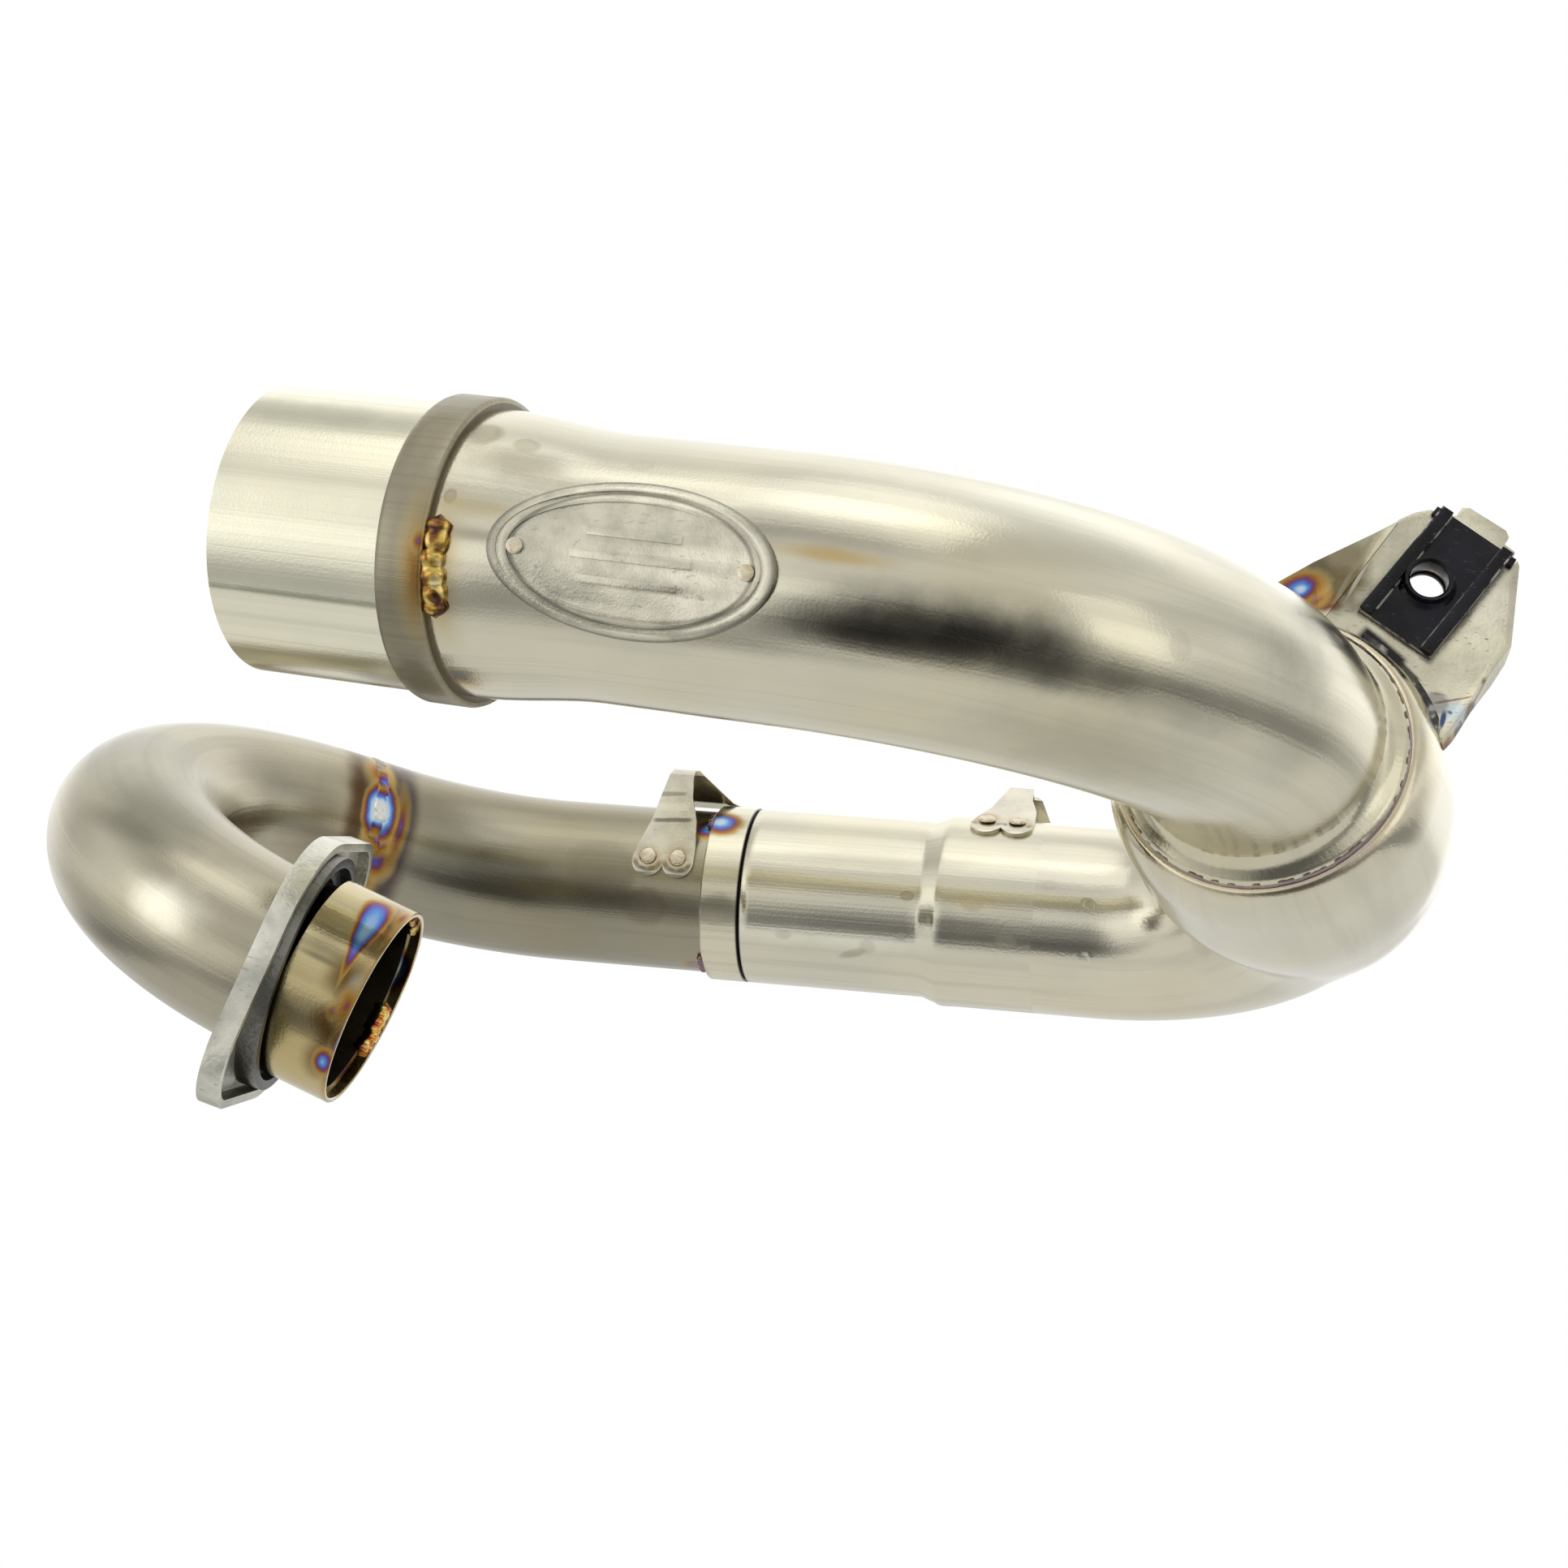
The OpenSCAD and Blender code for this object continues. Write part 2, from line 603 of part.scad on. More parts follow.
// a flank bent back about a fold line, drawn along and out from the fold
module flank(line, fold, out, shape) {
    d = line[1] - line[0];
    translate([line[0][0], line[0][1], 0])
        rotate([0, 0, atan2(d[1], d[0])])
            rotate([-fold * out, 0, 0])
                translate([0, 0, -plate_t])
                    linear_extrude(plate_t)
                        polygon([for (q = shape) [q[0], out * q[1]]]);
}
module mount_bracket() color([0.74, 0.71, 0.64]) multmatrix(PL) {
    difference() {
        union() {
            translate([0, 0, -plate_t])
                linear_extrude(plate_t)
                    difference() {
                        polygon([
                            ridge_l[0], [7.6, -15.6], [3.7, -18.2], [0.2, -19.4], [-6.2, -18.6], [-7.6, -21.2], [-9.4, -21.4],
                            [-18.6, -16.4], [-19.4, -14.6], [-18.4, -12.6], [-20.9, -10.9], [-22.3, -7.0],
                            ridge_r[0], ridge_r[1], [20, 44], ridge_l[1]]);
                        translate(clip_at)
                            circle(d = plate_hole);
                    }
            flank(ridge_l, left_fold, -1, [[0, -0.5], [0, 0], [5.3, 3.5], [18.1, 12.7], [28.6, 18.8], [46, 18.8], [41, 0], [41, -0.5]]);
            flank(ridge_r, right_fold, 1, [[0, -0.5], [0, 0], [3.0, 3.6], [9.3, 4.8], [18.5, 4.3], [26.8, 6.2], [31, 5], [31, -0.5]]);
        }
        on_dome()
            dome_solid(0);
        translate([clip_at[0], clip_at[1], -plate_t - 1])
            rotate([0, 0, clip_turn])
                for (v = [clip_low[1] - clip_w / 2 - 1.4, clip_low[1] + clip_w / 2 - 0.2])
                    translate([clip_low[0] + clip_len - 2.6, v, 0])
                        cube([9, 1.6, plate_t + 2]);
    }
}
module bracket_welds() color([0.5, 0.46, 0.42]) multmatrix(PL) {
    intersection() {
        on_dome()
            difference() {
                dome_solid(1.4);
                dome_solid(0);
            }
        for (x = [-5.2, 8])
            translate([x, 0, 0.03])
                cube([6, 44, 1.4]);
    }
}
module clip_nut() color([0.07, 0.07, 0.08]) multmatrix(PL) translate([clip_at[0], clip_at[1], 0]) rotate([0, 0, clip_turn]) {
    low = clip_low[0];
    mid_v = clip_low[1];
    under = -plate_t - 2 * clip_gap - clip_t;
    difference() {
        union() {
            translate([low, mid_v - clip_w / 2, clip_gap])
                cube([clip_len, clip_w, clip_t]);
            for (s = [0, 1])
                translate([low, mid_v - clip_w / 2 + s * (clip_w - clip_t), clip_gap])
                    cube([clip_len, clip_t, clip_t + clip_lip]);
            cylinder(h = clip_collar_h, r = clip_collar);
            cylinder(h = clip_collar_h / 2, r1 = clip_collar + 2.8, r2 = clip_collar);
            translate([low, mid_v - clip_w / 2, clip_gap])
                cube([clip_t, clip_w, clip_t + clip_lip * 0.3]);
            translate([low + clip_len - clip_back, mid_v - clip_w / 2, under + clip_gap])
                cube([clip_back, clip_w, clip_t]);
            for (s = [0, 1])
                translate([low + clip_len - 2.4, mid_v - clip_w / 2 - 1.2 + s * (clip_w + 1.2), under + clip_gap])
                    cube([2.4, 1.2, clip_t + clip_gap - under]);
        }
        translate([0, 0, -plate_t - 4])
            cylinder(h = clip_collar_h + plate_t + 6, r = clip_bore);
        translate([0, 0, clip_collar_h - 0.7])
            cylinder(h = 0.8, r1 = clip_bore, r2 = clip_collar - 0.3);
    }
}

port_spigot();
port_flange();
spigot_weld();
port_bend();
front_weld();
link_tube();
slip_collar();
collar_tacks();
front_spring_hook();
front_hook_welds();
mid_tube();
mid_spring_hook();
mid_hook_welds();
inlet_weld();
chamber_shell();
chamber_seam();
tail_tube();
badge_plate();
badge_welds();
outlet_band();
band_weld();
outlet_tube();
mount_bracket();
bracket_welds();
clip_nut();
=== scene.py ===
import math
import random

import bmesh
import bpy
from mathutils import Matrix, Vector


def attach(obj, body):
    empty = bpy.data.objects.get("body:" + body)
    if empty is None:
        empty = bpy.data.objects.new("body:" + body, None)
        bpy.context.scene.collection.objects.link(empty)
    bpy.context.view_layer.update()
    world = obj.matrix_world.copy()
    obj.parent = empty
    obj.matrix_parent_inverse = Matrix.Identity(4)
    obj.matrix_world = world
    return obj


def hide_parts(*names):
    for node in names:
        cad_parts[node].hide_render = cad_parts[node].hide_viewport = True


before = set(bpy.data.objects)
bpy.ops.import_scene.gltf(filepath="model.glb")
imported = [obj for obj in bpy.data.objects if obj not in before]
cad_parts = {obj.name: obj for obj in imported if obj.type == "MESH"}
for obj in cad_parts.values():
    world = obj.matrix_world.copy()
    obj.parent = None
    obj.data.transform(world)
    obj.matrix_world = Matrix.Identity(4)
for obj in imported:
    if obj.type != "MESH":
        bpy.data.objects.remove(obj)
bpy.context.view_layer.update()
MM = 0.001


# Rigid moves that walk along the tube, in millimetres until a mesh is made

def roll(a):
    return Matrix.Rotation(math.radians(a), 4, "Z")


def lean(a):
    return Matrix.Rotation(math.radians(a), 4, "Y")


def shift(x=0.0, y=0.0, z=0.0):
    return Matrix.Translation((x, y, z))


class Path:
    """A bent tube's middle line: straights and bends, with a frame at any length along it."""

    def __init__(self, start, pieces):
        """A piece is (length,) for a straight, or (turn, radius, angle) for a bend."""
        self.legs = []
        self.stops = []
        m = start
        s = 0.0
        for p in pieces:
            length = p[0] if len(p) == 1 else math.radians(p[2]) * p[1]
            self.legs.append((s, length, m, p))
            self.stops.append(s)
            m = self.inside(m, p, length)
            s += length

    @staticmethod
    def inside(m, p, d):
        if len(p) == 1:
            return m @ shift(z=d)
        turn, radius, angle = p[0], p[1], math.degrees(d / p[1])
        return m @ roll(turn) @ shift(x=radius) @ lean(angle) @ shift(x=-radius) @ roll(-turn)

    def at(self, s):
        for s0, length, m, p in self.legs:
            if s <= s0 + length + 1e-6:
                return self.inside(m, p, s - s0)
        s0, length, m, p = self.legs[-1]
        return self.inside(m, p, s - s0)


# The two halves' middle lines and the lengths at which their pieces start

PORT = lean(24.5 - 90)
front = Path(PORT, [(22.5,), (86, 64, 150), (14.0,), (49, 87, 37), (80.0,)])
F2, F4 = front.stops[2], front.stops[4]
GAP = F4 + 52
rear = Path(
    front.at(GAP) @ roll(49),
    [(95.5,), (-2, 56, 101), (56.5,), (34, 80, 20), (13.0,), (-12, 80, 72), (127.0,)])
G1, G2, G3, G6 = rear.stops[1], rear.stops[2], rear.stops[3], rear.stops[6]
SEAM = G2 + 49.3
PLATE = rear.at(G2) @ roll(-2) @ shift(-33, -52.4, 36.7) @ lean(-20)
FRONT_WELD = F2 + 5.5
INLET_LINE = 80.3

# Outside radii

PIPE = 22.25
RING = 24.1
INLET = 26.0
TAIL = 30.0
CHAMBER = 39.8
SEAM_R = 34.8
OUTLET = 33.0
FLARE = 32.5
BAND = 35.0


def smooth(u):
    u = min(1.0, max(0.0, u))
    return u * u * (3 - 2 * u)


# Mesh making

def finish_mesh(name, bm, material, body="header", sharp=32):
    mesh = bpy.data.meshes.new(name)
    bm.to_mesh(mesh)
    bm.free()
    for poly in mesh.polygons:
        poly.use_smooth = True
    mesh.set_sharp_from_angle(angle=math.radians(sharp))
    mesh.materials.append(material)
    obj = bpy.data.objects.new(name, mesh)
    bpy.context.scene.collection.objects.link(obj)
    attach(obj, body)
    return obj


def loft(name, rings, material, segments, closed, sharp):
    """Rings carried along a row of matrices that each map the unit circle, joined by extrusion.

    A ring is (matrix in mm, length along the piece). The UV map holds the turn and that length."""
    bm = bmesh.new()
    turn_of = bm.verts.layers.int.new("turn")
    along = bm.verts.layers.float.new("along")
    made = bmesh.ops.create_circle(bm, radius=1.0, segments=segments)["verts"]
    made.sort(key=lambda v: math.atan2(v.co.y, v.co.x) % (2 * math.pi - 1e-4))
    for i, v in enumerate(made):
        v[turn_of] = i
        v[along] = rings[0][1]
    scale = Matrix.Scale(MM, 4)
    bmesh.ops.transform(bm, matrix=scale @ rings[0][0], verts=made)
    first = list(bm.edges)
    edges = first
    before = rings[0][0]
    for m, s in rings[1:]:
        out = bmesh.ops.extrude_edge_only(bm, edges=edges)["geom"]
        verts = [g for g in out if isinstance(g, bmesh.types.BMVert)]
        new = set(verts)
        edges = [
            g for g in out
            if isinstance(g, bmesh.types.BMEdge) and g.verts[0] in new and g.verts[1] in new]
        step = scale @ m @ before.inverted() @ scale.inverted()
        bmesh.ops.transform(bm, matrix=step, verts=verts)
        for v in verts:
            v[along] = s
        before = m
    if closed:
        bmesh.ops.bridge_loops(bm, edges=first + edges)
    else:
        for ends in (first, edges):
            bmesh.ops.contextual_create(bm, geom=ends)
    bmesh.ops.recalc_face_normals(bm, faces=bm.faces)
    uv = bm.loops.layers.uv.new("Tube")
    half = segments / 2
    for face in bm.faces:
        turns = [v[turn_of] for v in face.verts]
        wraps = max(turns) - min(turns) > half
        for loop in face.loops:
            k = loop.vert[turn_of]
            if wraps and k < half:
                k += segments
            loop[uv].uv = (k / segments, loop.vert[along] / 100.0)
    return finish_mesh(name, bm, material, sharp=sharp)


def dense(points, step):
    """The profile's points with more between them, so that a bend is round."""
    out = [points[0]]
    for (s0, r0), (s1, r1) in zip(points, points[1:]):
        n = max(1, int(abs(s1 - s0) / step))
        for i in range(1, n + 1):
            out.append((s0 + (s1 - s0) * i / n, r0 + (r1 - r0) * i / n))
    return out


# The UV map's length is this much greater on a tube's inner wall
INSIDE = 2000.0


def tube(name, path, outer, inner, material, step=3.0, sharp=32, segments=112):
    """A hollow tube along a path: the outside profile one way, the inside profile back."""
    rings = [(path.at(s) @ Matrix.Diagonal((r, r, 1, 1)), s) for s, r in dense(outer, step)]
    rings += [(path.at(s) @ Matrix.Diagonal((r, r, 1, 1)), s + INSIDE) for s,
        r in dense(inner[::-1], step)]
    return loft(name, rings, material, segments, True, sharp)


def bead(
        name, path, s, radius, width, height, material,
        start=0, sweep=360, pitch=2.2, seed=1, ripple=0.28):
    """A weld bead round a tube, in overlapping ripples."""
    rng = random.Random(seed)
    count = max(6, int(math.radians(sweep) * radius / pitch))
    per = 6
    steps = count * per
    rings = []
    jitter = [rng.uniform(-1, 1) for _ in range(count + 1)]
    for i in range(steps + (0 if sweep == 360 else 1)):
        t = i / steps
        phase = (i % per) / per
        lift = 1 - ripple + ripple * math.sin(math.pi * phase) ** 0.6
        j = jitter[(i // per) % count]
        wide = width / 2 * (0.9 + 0.1 * math.sin(math.pi * phase) + 0.05 * j)
        end = 1.0 if sweep == 360 else smooth(min(t, 1 - t) * 9 + 0.15)
        m = path.at(s + 0.12 * width * j) @ roll(start + sweep * t) @ shift(x=radius - 0.1)
        m = m @ Matrix.Rotation(math.radians(-90), 4, "X")
        rings.append((m @ Matrix.Diagonal((height * lift * end, wide * end, 1, 1)), t * 100))
    return loft(name, rings, material, 20, sweep == 360, 60)


def refined(name, node, material, edge, segments=2, body="header"):
    """A copy of a CAD node with its edges broken, as pressed and cut metal has them."""
    bm = bmesh.new()
    bm.from_mesh(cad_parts[node].data)
    bmesh.ops.remove_doubles(bm, verts=bm.verts, dist=1e-6)
    bmesh.ops.dissolve_limit(bm, angle_limit=math.radians(0.6), verts=bm.verts, edges=bm.edges)
    keen = [e for e in bm.edges if len(e.link_faces) == 2 and e.calc_face_angle(0) > math.radians(32)]
    bmesh.ops.bevel(
        bm, geom=keen, offset=edge * MM, offset_type="OFFSET", segments=segments,
        profile=0.5, affect="EDGES", clamp_overlap=True, material=-1)
    bmesh.ops.triangulate(bm, faces=[f for f in bm.faces if len(f.verts) > 4])
    obj = finish_mesh(name, bm, material, body, 40)
    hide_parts(node)
    return obj


# Shader writing

class Val:
    """A socket that takes part in Python sums, adding its Math nodes."""

    def __init__(self, ink, socket):
        self.ink = ink
        self.socket = socket

    def math(self, operation, *others, **settings):
        return self.ink.add("ShaderNodeMath", dict(operation=operation, **settings), [self, *others])

    def __add__(self, o):
        return self.math("ADD", o)

    def __mul__(self, o):
        return self.math("MULTIPLY", o)

    def __sub__(self, o):
        return self.math("SUBTRACT", o)

    def __truediv__(self, o):
        return self.math("DIVIDE", o)

    def __pow__(self, o):
        return self.math("POWER", o)

    def low(self, o):
        return self.math("MINIMUM", o)

    def high(self, o):
        return self.math("MAXIMUM", o)

    def __rsub__(self, o):
        return self.ink.add("ShaderNodeMath", {"operation": "SUBTRACT"}, [o, self])

    def __abs__(self):
        return self.math("ABSOLUTE")

    def sin(self):
        return self.math("SINE")

    def cos(self):
        return self.math("COSINE")

    def root(self):
        return self.math("SQRT")

    def fract(self):
        return self.math("FRACT")

    __radd__ = __add__
    __rmul__ = __mul__

    def span(self, low, high, to_low=0.0, to_high=1.0):
        """Smooth step from low to high."""
        return self.ink.add(
            "ShaderNodeMapRange", {"interpolation_type": "SMOOTHSTEP"},
            [self, low, high, to_low, to_high])


def metres(point):
    return tuple(c * MM for c in point)


def tint(base, *k):
    """The colour made darker or lighter, by one factor or by one for each channel."""
    return tuple(min(1.0, c * f) for c, f in zip(base, k * 3 if len(k) == 1 else k))


class Ink:
    """One material and the nodes that are added to it."""

    def __init__(self, name):
        self.material = bpy.data.materials.new(name)
        self.material.use_nodes = True
        self.tree = self.material.node_tree
        self.shader = self.tree.nodes["Principled BSDF"]

    def add(self, kind, settings=None, values=(), out=0):
        node = self.tree.nodes.new(kind)
        for key, value in (settings or {}).items():
            if key == "stops":
                ramp = node.color_ramp
                while len(ramp.elements) < len(value):
                    ramp.elements.new(0.5)
                for element, (place, colour) in zip(ramp.elements, value):
                    element.position = place
                    element.color = (*colour, 1.0)
            else:
                setattr(node, key, value)
        pairs = values.items() if isinstance(values, dict) else enumerate(values)
        for key, value in pairs:
            if isinstance(value, Val):
                self.tree.links.new(value.socket, node.inputs[key])
            else:
                node.inputs[key].default_value = value
        return Val(self, node.outputs[out])

    def mix(self, factor, a, b):
        a, b = ((*c, 1.0) if isinstance(c, tuple) else c for c in (a, b))
        return self.add("ShaderNodeMix", {"data_type": "RGBA", "clamp_factor": True},
            {0: factor, 6: a, 7: b}, 2)

    def ramp(self, factor, stops):
        return self.add("ShaderNodeValToRGB", {"stops": stops}, [factor])

    def noise(self, vector, scale, detail=2.0, rough=0.5, distort=0.0):
        return self.add(
            "ShaderNodeTexNoise", {"noise_dimensions": "3D"},
            {"Vector": vector, "Scale": scale, "Detail": detail, "Roughness": rough,
                "Distortion": distort})

    def place(self):
        return self.add("ShaderNodeTexCoord", out="Object")

    def vector(self, x, y, z):
        return self.add("ShaderNodeCombineXYZ", None, [x, y, z])

    def vec(self, operation, *values, out=0):
        return self.add("ShaderNodeVectorMath", {"operation": operation}, values, out)

    def far_from(self, place, point):
        """Distance in metres from a point in mm."""
        return self.vec("DISTANCE", place, metres(point), out=1)

    def by_line(self, place, start, axis):
        """Distance along a line and away from it, in mm. The line has its start in mm and a unit axis."""
        arm = self.vec("SUBTRACT", place, metres(start))
        run = self.vec("DOT_PRODUCT", arm, tuple(axis), out=1) * 1000.0
        across = self.vec("CROSS_PRODUCT", arm, tuple(axis))
        return run, self.vec("LENGTH", across, out=1) * 1000.0

    def nicks(self, place, turn, scale, low):
        """Fine scratches that run one way over a piece."""
        grain = self.add("ShaderNodeMapping", None, {"Vector": place, "Rotation": turn, "Scale": scale})
        return self.noise(grain, 1.0, 1.0).span(low, 0.74)

    def set(self, **values):
        for key, value in values.items():
            socket = self.shader.inputs[key.replace("_", " ")]
            if isinstance(value, Val):
                self.tree.links.new(value.socket, socket)
            else:
                socket.default_value = value

    def bump(self, height, strength, distance):
        return self.add(
            "ShaderNodeBump", None, {"Strength": strength, "Distance": distance, "Height": height})


# Heat colours, from the hottest to the coolest

HEAT = [
    (0.00, (0.70, 0.70, 0.66)),
    (0.16, (0.48, 0.62, 0.74)),
    (0.30, (0.10, 0.26, 0.60)),
    (0.42, (0.10, 0.09, 0.36)),
    (0.52, (0.17, 0.05, 0.10)),
    (0.62, (0.28, 0.11, 0.02)),
    (0.76, (0.36, 0.21, 0.05)),
    (1.00, (0.46, 0.35, 0.15)),
]


class TubeInk(Ink):
    """A tube's finish, drawn in its own turn and length."""

    def __init__(self, name, radius):
        super().__init__(name)
        self.radius = radius
        uv = self.add("ShaderNodeUVMap", {"uv_map": "Tube"})
        self.u = self.add("ShaderNodeSeparateXYZ", None, [uv], 0)
        run = self.add("ShaderNodeSeparateXYZ", None, [uv], 1) * 100.0
        self.inside = run.span(900.0, 1100.0)
        self.s = run - self.inside * INSIDE
        turn = self.u * (2 * math.pi)
        self.cx = turn.cos()
        self.sx = turn.sin()
        self.here = self.place()
        self.wobble = self.noise(self.here, 110.0, 4.0, 0.6) - 0.5
        self.drift = self.noise(self.here, 45.0, 2.0) - 0.5

    def spot(self, turn, s, wide, long, tilt=0.0, rag=0.6, taper=0.0):
        """Distance from a place on the tube, about 1 at its ragged edge.

        wide goes round the tube, long goes along it, and both are in mm."""
        round_it = 2 * math.pi * self.radius
        dx = ((self.u - (turn / 360.0 - 0.5)).fract() - 0.5) * round_it
        dy = self.s - s
        c, n = math.cos(math.radians(tilt)), math.sin(math.radians(tilt))
        a = (dx * c + dy * n) / wide
        b = (dy * c - dx * n) / long
        if taper:
            b = b / (1.0 + a * taper).high(0.12)
        return (a * a + b * b).root() + self.wobble * rag + self.drift * rag

    def streaks(self, round_scale, along_scale, detail=3.0):
        v = self.vector(self.cx * round_scale, self.sx * round_scale, self.s * along_scale)
        return self.noise(v, 1.0, detail)


def titanium(
        name, radius, base, rough, spots=(), bands=(), stains=(), soot_and_painted_light=(), shade=(),
        brush=(9.0, 0.02), warm=0.0, hollow=(0.10, 0.08, 0.055)):
    """Raw titanium: fine satin grain, soft drawing streaks, stains, the heat colours by the welds, and
    painted reflections, highlights and shade.

    A mark starts with its turn, its length along the path, its size round and along the tube, and its
    tilt. A spot of heat adds its lowest step of the ramp and its strength, and may add the power and the
    taper of its edge. A stain adds its depth. A smoke mark adds its depth and colour; these marks also
    carry painted reflections, highlights and shade. A band of heat is (length, width, strength, lowest
    step), and shade is a stretch of painted shade in one colour, for the gaps between parts. hollow is
    the inner wall's colour, and its dark default is painted shade inside the tube."""
    ink = TubeInk(name, radius)
    cloud = ink.noise(ink.here, 26.0, 4.0, 0.55)
    drawn = ink.streaks(brush[0], brush[1])
    fine = ink.streaks(brush[0] * 6.0, brush[1] * 2.0, 1.0)
    grain = ink.noise(ink.here, 1500.0, 2.0)
    colour = ink.mix(cloud.span(0.35, 0.7), base, tint(base, 1.10, 1.08, 1.03))
    colour = ink.mix(drawn.span(0.45, 0.72) * 0.4, colour, tint(base, 0.74))
    colour = ink.mix(fine.span(0.55, 0.8) * 0.25, colour, tint(base, 0.80))
    if warm:
        gold = ink.noise(ink.here, 11.0, 2.0)
        colour = ink.mix(gold.span(0.48, 0.66) * warm, colour, tint(base, 0.96, 0.88, 0.68))
    roughness = rough + (drawn - 0.5) * 0.14 + (cloud - 0.5) * 0.12
    for turn, s, wide, long, tilt, depth in stains:
        d = ink.spot(turn, s, wide, long, tilt, 1.2)
        edge = d.span(0.55, 0.9) * d.span(1.0, 1.4, 1.0, 0.0) * ink.wobble.span(-0.25, 0.2)
        fill = d.span(0.5, 1.4, 1.0, 0.0)
        colour = ink.mix(fill * (depth * 0.5) + edge * (depth * 0.4), colour,
            tint(base, 0.48, 0.42, 0.34))
        roughness = roughness + fill * 0.08
    # Smoke marks, and painted reflections, highlights and shade, each in its own colour
    for turn, s, wide, long, tilt, depth, dark in soot_and_painted_light:
        d = ink.spot(turn, s, wide, long, tilt, 0.5)
        colour = ink.mix(d.span(0.1, 1.3, 1.0, 0.0) * depth, colour, dark)
    # The inner wall takes the hollow colour; its dark default is painted shade inside the tube
    colour = ink.mix(ink.inside * 0.8, colour, hollow)
    for s, width, strength, low in bands:
        patch = ink.streaks(1.6, 0.03, 2.0)
        d = abs(ink.s - s) / width + ink.wobble * 0.5 + (patch - 0.5) * 1.1 + low
        colour = ink.mix(d.span(0.80, 1.3, 1.0, 0.0) * strength, colour, ink.ramp(d.high(0.0), HEAT))
    for turn, s, wide, long, tilt, low, strength, *keen in spots:
        d = ink.spot(turn, s, wide, long, tilt, 0.45, keen[1] if len(keen) > 1 else 0.0)
        if keen:
            d = d.high(0.0) ** keen[0]
        d = d * (1 - low) + low
        colour = ink.mix(d.span(0.66, 1.16, 1.0, 0.0) * strength, colour, ink.ramp(d.high(0.0), HEAT))
    # Painted shade in the gaps between parts, as stretches of one colour
    for s0, s1, dark in shade:
        inside = ink.s.span(s0 - 0.3, s0 + 0.3) * ink.s.span(s1 - 0.6, s1 + 0.6, 1.0, 0.0)
        colour = ink.mix(inside, colour, dark)
    ink.set(
        Base_Color=colour, Metallic=1.0, Roughness=roughness.high(0.08),
        Normal=ink.bump(grain * 0.6 + drawn * 1.2 + fine * 0.6 + cloud * 0.5, 0.12, 0.0004))
    return ink.material


def spot_at(path, s, turn, radius):
    """The place on a tube at this length and turn, in mm."""
    return tuple(path.at(s) @ roll(turn) @ Vector((radius, 0, 0)))


def plain_metal(
        name, base, rough, blotch, scale, bump=0.15, scratch=0.0,
        heat=(), marks=(), lines=(), ring=None, oval=None):
    """Metal on Object coordinates, for sheet and cut pieces, with every place in mm.

    heat is (x, y, z, radius, lowest step, strength). A mark is (x, y, z, radius, depth, colour), and a
    line is (start, end, width, depth, colour), for scratches and for painted shade and highlights along
    folds, gaps and edges. ring is a core of another colour about an axis, painted as shade: (centre,
    axis, inner, outer, colour). oval is a pressed border drawn in painted shade and a painted highlight:
    darker round and inside its edge, with a light ring on its crest: (seat, half length, half width)."""
    ink = Ink(name)
    place = ink.place()
    cloud = ink.noise(place, scale, 4.0, 0.6)
    fine = ink.noise(place, scale * 14, 2.0)
    colour = ink.mix(cloud.span(0.3, 0.7), tint(base, 1 - blotch), tint(base, 1 + blotch))
    roughness = rough + (cloud - 0.5) * 0.2
    if scratch:
        nicks = ink.nicks(place, (0.4, 0.9, 0.5), (300.0, 2200.0, 900.0), 0.66)
        colour = ink.mix(nicks * scratch, colour, tint(base, 0.45))
        roughness = roughness + nicks * 0.1
    # A core about an axis in another colour, used as painted shade
    if ring:
        centre, axis, low, high, dark = ring
        far = ink.by_line(place, centre, axis)[1]
        colour = ink.mix(far.span(low, high, 1.0, 0.0), colour, dark)
    wobble = ink.noise(place, 110.0, 4.0) - 0.5
    if oval:
        seat, long, wide = oval
        arm = ink.vec("SUBTRACT", place, tuple(seat.translation * MM))
        along = ink.vec("DOT_PRODUCT", arm, tuple(seat.col[2][:3]), out=1) * (1000.0 / long)
        across = ink.vec("DOT_PRODUCT", arm, tuple(seat.col[1][:3]), out=1) * (1000.0 / wide)
        far = (along * along + across * across).root()
        # Painted shade darker round and inside the border's edge, then a painted highlight ring on its
        # crest
        border_shade = far.span(0.955, 0.995) + (abs(far - 0.845).span(0.0, 0.035, 1.0, 0.0))
        colour = ink.mix(border_shade.low(1.0) * 0.75, colour, tint(base, 0.28))
        colour = ink.mix(abs(far - 0.92).span(0.0, 0.03, 1.0, 0.0) * 0.5, colour, tint(base, 1.5))
    for *point, size, depth, dark in marks:
        d = ink.far_from(place, point) * (1000.0 / size) + wobble * 0.9
        colour = ink.mix(d.span(0.6, 1.15, 1.0, 0.0) * depth, colour, dark)
    for one, two, size, depth, dark in lines:
        way = Vector(two) - Vector(one)
        run, far = ink.by_line(place, one, way.normalized())
        far = far + wobble * size
        inside = far.span(size * 0.4, size, 1.0, 0.0) * run.span(-1.0, 1.0)
        inside = inside * run.span(way.length - 1.0, way.length + 1.0, 1.0, 0.0)
        colour = ink.mix(inside * depth, colour, dark)
    for *point, size, low, strength in heat:
        d = ink.far_from(place, point) * (1000.0 / size) * (1 - low) + low + wobble * 0.8
        colour = ink.mix(d.span(0.66, 1.12, 1.0, 0.0) * strength, colour, ink.ramp(d.high(0.0), HEAT))
    ink.set(
        Base_Color=colour, Metallic=1.0, Roughness=roughness.high(0.05),
        Normal=ink.bump(fine * 0.6 + cloud, bump, 0.0005))
    return ink.material


def weld_metal(name, stops, rough=0.3, scale=260.0):
    """A weld bead's skin, in bands of heat colour."""
    ink = Ink(name)
    n = ink.noise(ink.place(), scale, 2.0, 0.5, 0.6)
    ink.set(
        Base_Color=ink.ramp(n.span(0.3, 0.7), stops), Metallic=1.0,
        Roughness=rough + (n - 0.5) * 0.15, Normal=ink.bump(n, 0.2, 0.0003))
    return ink.material


